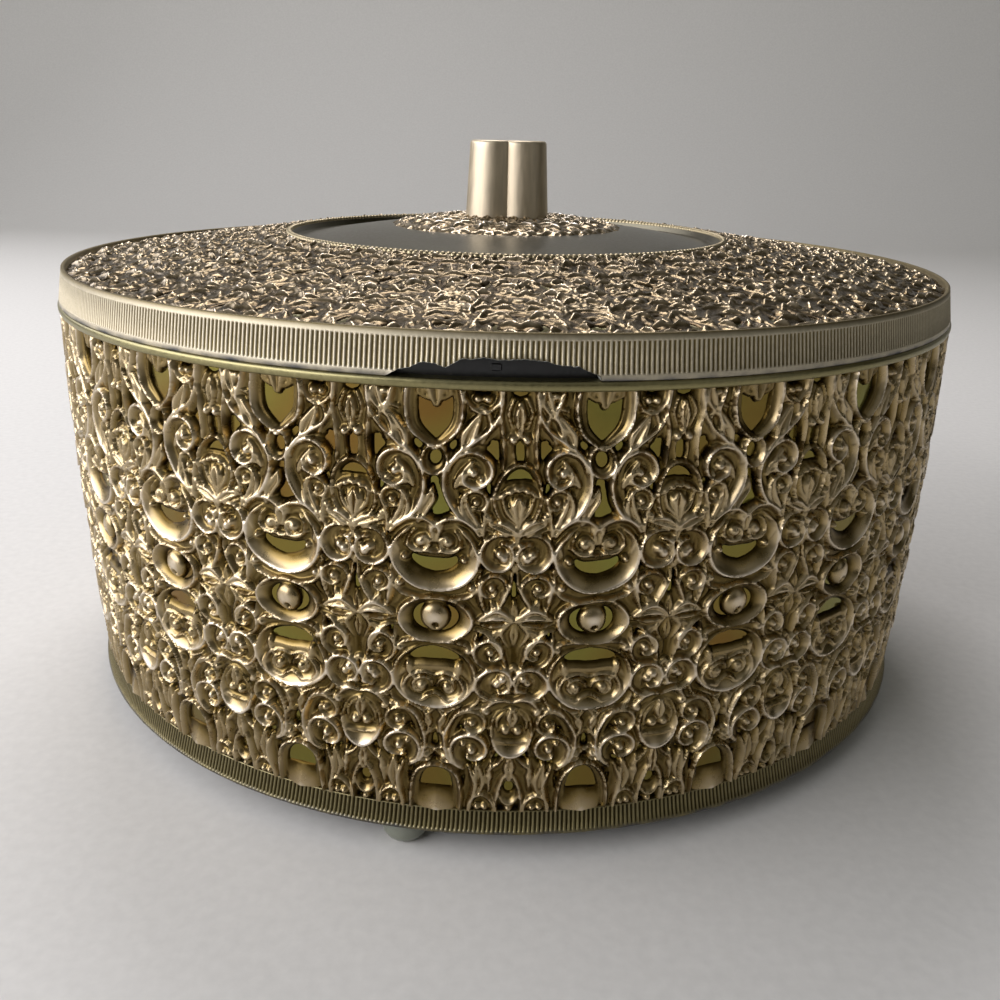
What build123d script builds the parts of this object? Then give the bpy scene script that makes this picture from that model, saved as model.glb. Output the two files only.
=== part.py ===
from build123d import *
import os
from math import cos, radians, sin

# Round sewing box with a gilt filigree side, a lift-off lid and a lift-out tray.
# Millimetres, +Z up. The origin is the middle of the table under the feet, -Y is the front.

# Heights, from the table up
foot_height = 6.5
base_band_height = 5.6
side_height = 98.5
rim_band_height = 2.1
lid_band_height = 9.0
lid_cone_rise = 8.0
well_depth = 3.4
well_floor_rise = 4.5
dome_rise = 4.0
knob_height = 22.7

# Outer radii and how the outline falls away from them
side_radius = 129.4
side_fall_at_top = 0.4
side_fall_at_foot = 1.8
base_band_inset = 1.3
base_band_flare = 1.7
rim_band_inset = 0.1
lid_band_inset = 0.3
lid_band_taper = 1.6

# Walls of the body
filigree_depth = 2.4
mirror_wall = 0.9
tub_wall = 2.0
tub_floor = 2.0
tub_floor_lift = 1.0
base_plate_wall = 2.4
rim_band_round = 0.9
shoulder_height = 2.0

# Feet and the countersunk screws that hold them
foot_count = 4
foot_angle = -9.8
foot_setback = 6.9
foot_radius = 5.5
foot_flat_radius = 3.0
foot_straight = 2.6
foot_screw_radius = 1.3
foot_screw_head_radius = 2.6
foot_screw_head_height = 1.4
foot_screw_bite = 3.4

# Lid
lid_band_wall = 2.7
lid_lip = 0.3
lid_ledge_wall = 0.7
lid_ledge_width = 1.3
lid_shell_wall = 1.2
lid_mirror_wall = 0.8
lid_filigree_depth = 1.7
well_radius = 64.5
well_wall = 1.4
well_floor_sag = 0.4
well_foot_width = 3.0
bead_height = 1.2
bead_width = 1.9
dome_radius = 35.0
dome_lip = 0.8
dome_crown = 0.5
dome_depth = 1.5
dome_lip_share = 0.3
knob_seat_lift = 3.2
dome_neck_radius = 8.0

# Broken edge of the lid band: sideways place and height above the band's lower edge
chip_outline = [
    (-21.4, -1.0),
    (-21.2, 0.2),
    (-19.3, 1.5),
    (-17.6, 1.9),
    (-15.1, 3.2),
    (-11.0, 2.5),
    (-8.3, 3.8),
    (-3.8, 4.2),
    (6.8, 4.1),
    (10.8, 3.3),
    (15.3, 2.7),
    (16.5, 1.9),
    (18.4, 0.9),
    (19.3, -1.0),
]

# Knob of four lobes, and its screw and washer
lobe_radius = 7.8
lobe_offset = 4.6
lobe_top_scale = 0.904
lobe_edge = 0.7
knob_core_radius = 5.0
knob_sink = 1.5
screw_radius = 1.9
screw_bite = 10.0
screw_head_radius = 3.8
screw_head_height = 2.2
screw_slot_width = 1.0
screw_slot_depth = 1.1
washer_radius = 5.2
washer_wall = 0.8
hub_radius = 8.0

# Collar of the tub and the small lug on its front
collar_wall = 2.0
lug_width = 2.2
lug_height = 1.5
lug_drop = 1.2
lug_depth = 0.3
lug_side = -1.3

# Tray
tray_height = 32.0
tray_drop = 5.0
tray_wall = 1.8
tray_rib_count = 6
tray_rib_width = 3.0
tray_rib_reach = 3.0
tray_centre_radius = 40.0
tray_centre_height = 24.0
tray_divider_wall = 1.6
tray_divider_height = 28.0
tray_boss_height = 3.0
tray_centre_boss_radius = 8.0
peg_angles = [-25.0, 0.0, 25.0, 155.0, 180.0, 205.0]
peg_circle = 95.0
peg_radius = 2.2
peg_tip_radius = 1.7
peg_height = 24.0
peg_spigot_radius = 1.5
peg_spigot_length = 4.0
peg_boss_radius = 4.0
handle_foot_radius = 6.5
handle_waist_radius = 3.6
handle_cap_radius = 9.0
handle_cap_height = 4.0
handle_height = 28.0
handle_screw_radius = 1.5
handle_screw_head_radius = 3.0
handle_screw_head_height = 1.6
handle_screw_bite = 11.0

# Clearances
skin_gap = 0.15
band_gap = 0.3
push_gap = 0.05
lid_clearance = 0.6
lid_headroom = 0.4
part_gap = 0.1
tray_clearance = 0.8
hole_gap = 0.3

# Levels that follow from the heights
z_base = foot_height
z_side_foot = z_base + base_band_height
z_side_top = z_side_foot + side_height
z_rim = z_side_top + rim_band_height
z_lid_edge = z_rim + lid_band_height
z_well_rim = z_lid_edge + lid_cone_rise
z_well_edge = z_well_rim - well_depth
z_dome_foot = z_well_edge + well_floor_rise
z_knob_foot = z_dome_foot + knob_seat_lift - knob_sink
z_knob_top = z_knob_foot + knob_height

# Radii that follow from the outline and the walls
r_side_top = side_radius - side_fall_at_top
r_side_foot = side_radius - side_fall_at_foot
r_base_top = r_side_foot - base_band_inset
r_base_foot = r_base_top + base_band_flare
r_rim = r_side_top - rim_band_inset
r_lid_foot = r_rim - lid_band_inset
r_lid_top = r_lid_foot - lid_band_taper
mirror_inset = filigree_depth + skin_gap
r_tub = r_side_foot - mirror_inset - mirror_wall - skin_gap
r_tub_inside = r_tub - tub_wall
r_lid_inside = r_lid_foot - lid_band_wall
r_collar = r_lid_inside - lid_clearance
r_collar_inside = r_collar - collar_wall
r_lid_disc = r_lid_inside - part_gap
r_well_outside = well_radius + well_wall
r_bead_outside = well_radius + bead_width
r_filigree_inside = r_bead_outside + part_gap
r_foot_circle = r_base_foot - foot_setback
r_tray = r_tub_inside - tray_clearance

# The lid's cone: the crest of its ornament, and the layers under it
lid_layers = lid_filigree_depth + lid_mirror_wall
lid_cone_width = r_lid_disc - r_filigree_inside
lid_crest_edge = z_lid_edge - lid_lip
lid_slope = (z_well_rim - lid_crest_edge) / lid_cone_width
z_ledge = lid_crest_edge - lid_layers - lid_shell_wall
z_collar = z_ledge - lid_ledge_wall - lid_headroom
z_pan = z_well_edge - well_wall
z_pan_under = z_pan - lid_shell_wall

# Levels of the tub floor and of the tray
z_plate = z_base + base_plate_wall
z_tub_floor = z_plate + tub_floor_lift + tub_floor
z_tray = z_collar - tray_drop - tray_height
z_tray_floor = z_tray + tray_wall
z_tray_boss = z_tray_floor + tray_boss_height


def turned(*edges):
    """A solid of revolution from closed edges drawn in the XZ plane."""
    return revolve(make_face(Curve() + list(edges)), Axis.Z)


def turned_outline(*points):
    """A solid of revolution from a closed outline of (radius, height) points."""
    return turned(Polyline(*[(r, 0, z) for r, z in points], close=True))


def straight(start, end):
    """A straight edge between two (radius, height) points."""
    return Line((start[0], 0, start[1]), (end[0], 0, end[1]))


def bent(start, middle, end):
    """An arc through three (radius, height) points."""
    return ThreePointArc(*[(r, 0, z) for r, z in (start, middle, end)])


def drum(radius, low, high):
    """An upright cylinder between two heights."""
    return Pos(0, 0, low) * Cylinder(radius, high - low, align=(Align.CENTER, Align.CENTER, Align.MIN))


def cone(low_radius, high_radius, low, high):
    """An upright cone frustum between two heights."""
    aligned = (Align.CENTER, Align.CENTER, Align.MIN)
    return Pos(0, 0, low) * Cone(low_radius, high_radius, high - low, align=aligned)


def block(x, y, z):
    """A block from its three (low, high) spans."""
    spans = (x, y, z)
    sizes = [high - low for low, high in spans]
    middles = [(high + low) / 2 for low, high in spans]
    return Pos(*middles) * Box(*sizes)


def turn(angle, shape):
    """The shape turned about the box's axis."""
    return Rot(0, 0, angle) * shape


def around(angle, radius):
    """A place on a circle about the axis; the angle is from the front, towards +X."""
    return (radius * sin(radians(angle)), -radius * cos(radians(angle)))


def lid_level(radius, depth):
    """Height of the lid's cone at a radius, a given depth under its crest."""
    return lid_crest_edge + lid_slope * (r_lid_disc - radius) - depth


def barrel_skin(outer_inset, inner_inset):
    """A thin sleeve that follows the bellied side, between two insets from its crest."""
    middle = (z_side_foot + z_side_top) / 2
    outer = [
        (r_side_foot - outer_inset, z_side_foot),
        (side_radius - outer_inset, middle),
        (r_side_top - outer_inset, z_side_top),
    ]
    inner = [
        (r_side_top - inner_inset, z_side_top),
        (side_radius - inner_inset, middle),
        (r_side_foot - inner_inset, z_side_foot),
    ]
    return turned(
        bent(*outer),
        straight(outer[2], inner[0]),
        bent(*inner),
        straight(inner[2], outer[0]),
    )


def side_filigree():
    """The ornamental sleeve, as deep as its relief."""
    return barrel_skin(0, filigree_depth)


def mirror_sleeve():
    """The bright backing that shines through the sleeve's openings."""
    return barrel_skin(mirror_inset, mirror_inset + mirror_wall)


def tub_lug():
    """The small lug on the front of the collar."""
    top = z_collar - lug_drop
    side = (lug_side - lug_width / 2, lug_side + lug_width / 2)
    reach = block(side, (-r_collar - lug_depth, -r_collar_inside - part_gap), (top - lug_height, top))
    return reach & drum(r_collar + lug_depth, z_rim, z_collar)


def inner_tub():
    """The black tub: floor, wall, shoulder and collar, with ribs that carry the tray."""
    shell = turned_outline(
        (0, z_tub_floor - tub_floor),
        (r_tub_inside, z_tub_floor - tub_floor),
        (r_tub_inside, z_plate),
        (r_tub, z_plate),
        (r_tub, z_rim),
        (r_collar, z_rim),
        (r_collar, z_collar),
        (r_collar_inside, z_collar),
        (r_collar_inside, z_rim + shoulder_height),
        (r_tub_inside, z_rim + shoulder_height - collar_wall / 2),
        (r_tub_inside, z_tub_floor),
        (0, z_tub_floor),
    )
    half = tray_rib_width / 2
    rib = block(
        (r_tub_inside - tray_rib_reach, r_tub - tub_wall / 2),
        (-half, half),
        (z_tub_floor - tub_floor / 2, z_tray),
    )
    for number in range(tray_rib_count):
        shell += turn(number * 360 / tray_rib_count, rib)
    return shell + tub_lug()


def body_rim_band():
    """The plain gilt ring on top of the side, with a half-round edge."""
    inside = r_tub + skin_gap
    low, high = z_side_top, z_rim
    straight_radius = r_rim - rim_band_round
    return turned(
        straight((inside, low), (straight_radius, low)),
        bent((straight_radius, low), (r_rim, (low + high) / 2), (straight_radius, high)),
        straight((straight_radius, high), (inside, high)),
        straight((inside, high), (inside, low)),
    )


def base_band():
    """The flared band round the foot of the box."""
    inside = r_tub + band_gap
    return turned_outline(
        (inside, z_base),
        (r_base_foot, z_base),
        (r_base_top, z_side_foot),
        (inside, z_side_foot),
    )


def base_plate():
    """The bottom plate inside the base band, countersunk for the foot screws."""
    plate = drum(r_tub + band_gap - part_gap, z_base, z_plate)
    sink = cone(
        foot_screw_radius + part_gap,
        foot_screw_head_radius + part_gap,
        z_plate - foot_screw_head_height,
        z_plate,
    )
    hole = drum(foot_screw_radius + part_gap, z_base, z_plate) + sink
    return plate - [Pos(x, y, 0) * hole for x, y in foot_places()]


def foot_places():
    """Where the feet stand."""
    step = 360 / foot_count
    return [around(foot_angle + number * step, r_foot_circle) for number in range(foot_count)]


def foot(place):
    """One rounded foot with a flat sole and a hole for its screw."""
    sole = (foot_flat_radius, 0)
    shoulder = (foot_radius, foot_height - foot_straight)
    bulge = (foot_radius - 0.29 * (foot_radius - foot_flat_radius), 0.29 * (foot_height - foot_straight))
    body = turned(
        straight((0, 0), sole),
        bent(sole, bulge, shoulder),
        straight(shoulder, (foot_radius, foot_height)),
        straight((foot_radius, foot_height), (0, foot_height)),
        straight((0, foot_height), (0, 0)),
    )
    hole = drum(foot_screw_radius + push_gap, foot_height - foot_screw_bite - part_gap, foot_height)
    return Pos(*place, 0) * (body - hole)


def foot_screws():
    """The countersunk screws, one to a foot."""
    shank = drum(foot_screw_radius, z_base - foot_screw_bite, z_plate - foot_screw_head_height)
    head = cone(
        foot_screw_radius, foot_screw_head_radius, z_plate - foot_screw_head_height, z_plate
    )
    slot = block(
        (-foot_screw_head_radius, foot_screw_head_radius),
        (-screw_slot_width / 2, screw_slot_width / 2),
        (z_plate - screw_slot_depth / 2, z_plate),
    )
    screw = shank + head - slot
    return Compound(children=[Pos(x, y, 0) * screw for x, y in foot_places()])


def tray():
    """The lift-out tray: a ring wall, a round middle, four dividers and the peg bosses."""
    top = z_tray + tray_height
    centre_top = z_tray + tray_centre_height
    shell = turned_outline(
        (0, z_tray),
        (r_tray, z_tray),
        (r_tray, top),
        (r_tray - tray_wall, top),
        (r_tray - tray_wall, z_tray_floor),
        (tray_centre_radius + tray_divider_wall, z_tray_floor),
        (tray_centre_radius + tray_divider_wall, centre_top),
        (tray_centre_radius, centre_top),
        (tray_centre_radius, z_tray_floor),
        (0, z_tray_floor),
    )
    half = tray_divider_wall / 2
    divider = block(
        (tray_centre_radius + half, r_tray - tray_wall / 2),
        (-half, half),
        (z_tray + tray_wall / 2, z_tray + tray_divider_height),
    )
    for number in range(4):
        shell += turn(45 + 90 * number, divider)
    shell += drum(tray_centre_boss_radius, z_tray + tray_wall / 2, z_tray_boss)
    boss = drum(peg_boss_radius, z_tray + tray_wall / 2, z_tray_boss)
    socket = drum(peg_spigot_radius + push_gap, z_tray_boss - peg_spigot_length, z_tray_boss)
    for x, y in peg_places():
        shell += Pos(x, y, 0) * boss
        shell -= Pos(x, y, 0) * socket
    sink = cone(
        handle_screw_head_radius + part_gap,
        handle_screw_radius + part_gap,
        z_tray,
        z_tray + handle_screw_head_height,
    )
    return shell - (drum(handle_screw_radius + part_gap, z_tray, z_tray_boss) + sink)


def peg_places():
    """Where the spool pegs stand in the tray's side compartments."""
    return [(peg_circle * cos(radians(a)), peg_circle * sin(radians(a))) for a in peg_angles]


def spool_peg(place):
    """One tapered peg with a round tip and a spigot in its boss."""
    top = z_tray_boss + peg_height
    tip = top - peg_tip_radius
    lift = peg_tip_radius * sin(radians(45))
    body = turned(
        straight((0, z_tray_boss), (peg_radius, z_tray_boss)),
        straight((peg_radius, z_tray_boss), (peg_tip_radius, tip)),
        bent((peg_tip_radius, tip), (lift, tip + lift), (0, top)),
        straight((0, top), (0, z_tray_boss)),
    )
    spigot = drum(peg_spigot_radius, z_tray_boss - peg_spigot_length + part_gap, z_tray_boss)
    return Pos(*place, 0) * (body + spigot)


def tray_handle():
    """The turned post in the middle of the tray, with a flat cap to lift it by."""
    foot_level = z_tray_boss
    top = foot_level + handle_height
    cap = top - handle_cap_height
    waist = (foot_level + cap) / 2
    edge = handle_cap_height / 4
    body = turned(
        straight((0, foot_level), (handle_foot_radius, foot_level)),
        bent((handle_foot_radius, foot_level), (handle_waist_radius, waist), (handle_foot_radius, cap)),
        straight((handle_foot_radius, cap), (handle_cap_radius, cap + edge)),
        straight((handle_cap_radius, cap + edge), (handle_cap_radius, top - edge)),
        straight((handle_cap_radius, top - edge), (handle_cap_radius - edge, top)),
        straight((handle_cap_radius - edge, top), (0, top)),
        straight((0, top), (0, foot_level)),
    )
    hole = drum(
        handle_screw_radius + push_gap, foot_level, foot_level + handle_screw_bite + part_gap
    )
    return body - hole


def tray_handle_screw():
    """The countersunk screw that holds the post from under the tray."""
    head = cone(
        handle_screw_head_radius,
        handle_screw_radius,
        z_tray,
        z_tray + handle_screw_head_height,
    )
    shank = drum(
        handle_screw_radius, z_tray + handle_screw_head_height, z_tray_boss + handle_screw_bite
    )
    half = screw_slot_width / 2
    slot = block(
        (-handle_screw_head_radius, handle_screw_head_radius),
        (-half, half),
        (z_tray, z_tray + screw_slot_depth / 2),
    )
    return head + shank - slot


def lid_band():
    """The tapered band of the lid, with an inner ledge and its broken lower edge."""
    ledge = r_lid_inside - lid_ledge_width
    ring = turned_outline(
        (r_lid_inside, z_rim),
        (r_lid_foot, z_rim),
        (r_lid_top, z_lid_edge),
        (r_lid_inside, z_lid_edge),
        (r_lid_inside, z_ledge),
        (ledge, z_ledge),
        (ledge, z_ledge - lid_ledge_wall),
        (r_lid_inside, z_ledge - lid_ledge_wall),
    )
    outline = Polyline(*[(x, 0, z_rim + height) for x, height in chip_outline], close=True)
    notch = extrude(make_face(outline), amount=r_lid_foot + band_gap, dir=(0, -1, 0))
    return ring - notch


def lid_shell():
    """The black carrier of the lid: a cone with a sunk round pan in the middle."""
    edge_flat = r_lid_inside - lid_ledge_width
    pan_inside = r_well_outside + part_gap
    pan_outside = pan_inside + lid_shell_wall
    return turned_outline(
        (screw_radius + hole_gap, z_pan_under),
        (pan_outside, z_pan_under),
        (pan_outside, lid_level(pan_outside, lid_layers + lid_shell_wall)),
        (edge_flat, z_ledge),
        (r_lid_disc, z_ledge),
        (r_lid_disc, lid_level(r_lid_disc, lid_layers)),
        (pan_inside, lid_level(pan_inside, lid_layers)),
        (pan_inside, z_pan),
        (screw_radius + hole_gap, z_pan),
    )


def lid_cone_skin(top_depth, bottom_depth):
    """A conical layer of the lid between two depths under the ornament's crest."""
    return turned_outline(
        (r_lid_disc, lid_level(r_lid_disc, bottom_depth)),
        (r_lid_disc, lid_level(r_lid_disc, top_depth)),
        (r_filigree_inside, lid_level(r_filigree_inside, top_depth)),
        (r_filigree_inside, lid_level(r_filigree_inside, bottom_depth)),
    )


def lid_filigree():
    """The ornamental ring of the lid, as deep as its relief."""
    return lid_cone_skin(0, lid_filigree_depth)


def lid_mirror():
    """The bright backing under the lid's ornament."""
    return lid_cone_skin(lid_filigree_depth, lid_layers)


def bead_ring():
    """The beaded rim round the well, with a rounded crest."""
    low = z_well_rim - bead_height
    high = z_well_rim
    inside, outside = well_radius, r_bead_outside
    middle = (inside + outside) / 2
    shoulder = (low + high) / 2
    return turned(
        straight((inside, low), (outside, low)),
        straight((outside, low), (outside, shoulder)),
        bent((outside, shoulder), (middle, high), (inside, shoulder)),
        straight((inside, shoulder), (inside, low)),
    )


def well_dish():
    """The polished dish: an upright wall, a floor that rises to the dome, and a hub."""
    wall_top = z_well_rim - bead_height
    floor_edge = (well_radius, z_well_edge)
    floor_top = (dome_radius, z_dome_foot)
    middle_r = (well_radius + dome_radius) / 2
    middle_z = (z_well_edge + z_dome_foot) / 2 + well_floor_sag
    under_edge = (r_well_outside - well_foot_width, z_pan)
    under_top = (dome_radius, z_dome_foot - well_wall)
    under_middle = (middle_r, middle_z - well_wall)
    hole = screw_radius + hole_gap
    return turned(
        straight((r_well_outside, z_pan), (r_well_outside, wall_top)),
        straight((r_well_outside, wall_top), (well_radius, wall_top)),
        straight((well_radius, wall_top), floor_edge),
        bent(floor_edge, (middle_r, middle_z), floor_top),
        straight(floor_top, (hole, z_dome_foot)),
        straight((hole, z_dome_foot), (hole, z_pan)),
        straight((hole, z_pan), (hub_radius, z_pan)),
        straight((hub_radius, z_pan), (hub_radius, z_dome_foot - well_wall)),
        straight((hub_radius, z_dome_foot - well_wall), under_top),
        bent(under_top, under_middle, under_edge),
        straight(under_edge, (r_well_outside, z_pan)),
    )


def dome_arc(inset):
    """The dome's crest line, or a line a given inset under it: foot, middle and neck."""
    low = z_dome_foot + dome_lip
    high = z_dome_foot + dome_rise
    outer_r = dome_radius - part_gap
    return [
        (outer_r - inset, low - inset * dome_lip_share),
        ((outer_r + dome_neck_radius) / 2, (low + high) / 2 + dome_crown - inset),
        (dome_neck_radius, high - inset),
    ]


def lobe_place(angle):
    """The middle of one lobe of the knob."""
    return around(angle, lobe_offset * 2**0.5)


def knob_socket():
    """The room that the knob's foot takes in the dome."""
    top = z_dome_foot + dome_rise + dome_crown
    room = drum(knob_core_radius + hole_gap, z_knob_foot, top)
    for number in range(4):
        room += Pos(*lobe_place(45 + 90 * number), 0) * drum(lobe_radius + hole_gap, z_knob_foot, top)
    return room


def dome_filigree():
    """The openwork dome round the knob's foot."""
    outer = dome_arc(0)
    inner = dome_arc(dome_depth)
    foot_outside = (outer[0][0], z_dome_foot)
    foot_inside = (inner[0][0], z_dome_foot)
    cap = turned(
        straight(foot_outside, outer[0]),
        bent(*outer),
        straight(outer[2], inner[2]),
        bent(*reversed(inner)),
        straight(inner[0], foot_inside),
        straight(foot_inside, foot_outside),
    )
    return cap - knob_socket()


def dome_mirror():
    """The bright round button under the dome, with a seat for the knob."""
    crest = dome_arc(dome_depth + skin_gap)
    foot_edge = (crest[0][0], z_dome_foot)
    hole = screw_radius + hole_gap
    button = turned(
        straight((hole, z_dome_foot), foot_edge),
        straight(foot_edge, crest[0]),
        bent(*crest),
        straight(crest[2], (hole, crest[2][1])),
        straight((hole, crest[2][1]), (hole, z_dome_foot)),
    )
    return button - knob_socket()


def knob_lobe(angle):
    """One round lobe of the knob, drawn in towards its top, with a bevelled top edge."""
    x, y = lobe_place(angle)
    bevel_level = z_knob_top - lobe_edge
    rings = [
        (1.0, lobe_radius, z_knob_foot),
        (lobe_top_scale, lobe_radius * lobe_top_scale, bevel_level),
        (lobe_top_scale, lobe_radius * lobe_top_scale - lobe_edge, z_knob_top),
    ]
    faces = [Pos(x * place, y * place, z) * Circle(radius) for place, radius, z in rings]
    return loft(faces[:2]) + loft(faces[1:])


def knob():
    """The lifting knob: four lobes round a core, with a hole for its screw."""
    body = drum(knob_core_radius, z_knob_foot, z_knob_top)
    for number in range(4):
        body += knob_lobe(45 + 90 * number)
    return body - drum(screw_radius + push_gap, z_knob_foot, z_knob_foot + screw_bite + part_gap)


def knob_screw():
    """The slotted screw that holds the knob from under the lid."""
    head_top = z_pan_under - washer_wall
    head_bottom = head_top - screw_head_height
    slot = block(
        (-screw_head_radius, screw_head_radius),
        (-screw_slot_width / 2, screw_slot_width / 2),
        (head_bottom, head_bottom + screw_slot_depth),
    )
    head = drum(screw_head_radius, head_bottom, head_top) - slot
    return head + drum(screw_radius, head_top, z_knob_foot + screw_bite)


def knob_washer():
    """The washer between the lid and the screw's head."""
    ring = drum(washer_radius, z_pan_under - washer_wall, z_pan_under)
    return ring - drum(screw_radius + hole_gap, z_pan_under - washer_wall, z_pan_under)


def nodes():
    """Every piece of the box by name."""
    pieces = {
        "base_plate": base_plate(),
        "base_band": base_band(),
        "inner_tub": inner_tub(),
        "mirror_sleeve": mirror_sleeve(),
        "side_filigree": side_filigree(),
        "body_rim_band": body_rim_band(),
        "foot_screws": foot_screws(),
        "tray": tray(),
        "tray_handle": tray_handle(),
        "tray_handle_screw": tray_handle_screw(),
        "lid_band": lid_band(),
        "lid_shell": lid_shell(),
        "lid_mirror": lid_mirror(),
        "lid_filigree": lid_filigree(),
        "bead_ring": bead_ring(),
        "well_dish": well_dish(),
        "dome_mirror": dome_mirror(),
        "dome_filigree": dome_filigree(),
        "knob": knob(),
        "knob_screw": knob_screw(),
        "knob_washer": knob_washer(),
    }
    for number, place in enumerate(foot_places(), 1):
        pieces[f"foot_{number}"] = foot(place)
    for number, place in enumerate(peg_places(), 1):
        pieces[f"spool_peg_{number}"] = spool_peg(place)
    return pieces


os.makedirs("parts", exist_ok=True)
for name, solid in nodes().items():
    export_step(solid, f"parts/{name}.step")
print("table to knob top", round(z_knob_top, 2), "widest", round(2 * side_radius, 2))
print("lid edge", round(z_lid_edge, 2), "collar", round(z_collar, 2), "tray", round(z_tray, 2))
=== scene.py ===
"""Looks of a round gilt sewing box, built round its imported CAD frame.

Lengths are in millimetres until a mesh is written, which is in metres. The front is -Y.
"""
import logging
import math
from dataclasses import dataclass, field
from enum import Enum
from typing import Any, Callable, Dict, List, Mapping, Optional, Sequence, Tuple

import bpy
import numpy as np
from mathutils import Matrix, Vector


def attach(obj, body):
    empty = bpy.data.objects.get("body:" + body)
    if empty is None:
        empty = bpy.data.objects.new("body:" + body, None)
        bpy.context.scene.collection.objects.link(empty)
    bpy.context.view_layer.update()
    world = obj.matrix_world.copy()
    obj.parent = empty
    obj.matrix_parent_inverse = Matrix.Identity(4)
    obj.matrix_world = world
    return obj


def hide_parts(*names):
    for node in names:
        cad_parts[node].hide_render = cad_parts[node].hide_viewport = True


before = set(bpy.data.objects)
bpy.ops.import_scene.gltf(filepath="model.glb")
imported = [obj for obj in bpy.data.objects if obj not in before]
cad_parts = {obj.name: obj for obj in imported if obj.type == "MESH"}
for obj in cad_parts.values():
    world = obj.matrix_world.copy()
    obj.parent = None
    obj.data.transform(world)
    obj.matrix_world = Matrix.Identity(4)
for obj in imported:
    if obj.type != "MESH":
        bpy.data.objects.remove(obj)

LOG = logging.getLogger("sewing_box")
METRE = 0.001  # A millimetre of the sizes, in the metres of the meshes
TAU = 2 * math.pi
FINE_STEPS = 512  # Steps round a large turned piece that shows
RELIEF_SHARP = 75.0  # Angle in degrees up to which the relief's curves look smooth
Socket = bpy.types.NodeSocket
Colour = Tuple[float, float, float, float]
Point = Tuple[float, float]
Corner = Tuple[float, ...]


def smoothstep(value: np.ndarray) -> np.ndarray:
    """Eases a value from 0 to 1."""
    kept = np.clip(value, 0, 1)
    return kept * kept * (3 - 2 * kept)


def soften(height: np.ndarray, spread: float, wrap: bool = True) -> np.ndarray:
    """Blurs a height map.

    Args:
        height: The map; its columns go round the box.
        spread: Spread of the blur in samples.
        wrap: Whether the last column meets the first.

    Returns:
        The blurred map.
    """
    reach = max(1, int(math.ceil(3 * spread)))
    weights = np.exp(-0.5 * (np.arange(-reach, reach + 1) / spread) ** 2)
    weights /= weights.sum()
    out = np.pad(height, ((reach, reach), (0, 0)), mode="edge")
    out = sum(w * out[k : k + height.shape[0]] for k, w in enumerate(weights))
    out = np.pad(out, ((0, 0), (reach, reach)), mode="wrap" if wrap else "edge")
    return sum(w * out[:, k : k + height.shape[1]] for k, w in enumerate(weights))


class Section(Enum):
    """Shape of a strip of relief across its width, as (place across, share of its height) pairs."""

    SCOOP = (
        (0.0, 0.6), (0.06, 0.92), (0.14, 1.0), (0.25, 0.88), (0.42, 0.52),
        (0.6, 0.29), (0.76, 0.25), (0.92, 0.42), (1.0, 0.38),
    )
    DISH = (
        (0.0, 0.7), (0.05, 0.94), (0.11, 1.0), (0.2, 0.9),
        (0.4, 0.62), (0.65, 0.38), (0.88, 0.24), (1.0, 0.2),
    )
    ROUND = (
        (0.0, 0.1), (0.06, 0.45), (0.2, 0.8), (0.36, 0.96), (0.5, 1.0),
        (0.64, 0.96), (0.8, 0.8), (0.94, 0.45), (1.0, 0.1),
    )
    LEAF = (
        (0.0, 0.5), (0.14, 0.88), (0.28, 1.0), (0.42, 0.74), (0.5, 0.48),
        (0.58, 0.74), (0.72, 1.0), (0.86, 0.88), (1.0, 0.5),
    )

    def share(self, across: np.ndarray) -> np.ndarray:
        """Share of the full height at each place across, from 0 on the rim's side to 1."""
        places, shares = zip(*self.value)
        return np.interp(across, places, shares)


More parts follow.
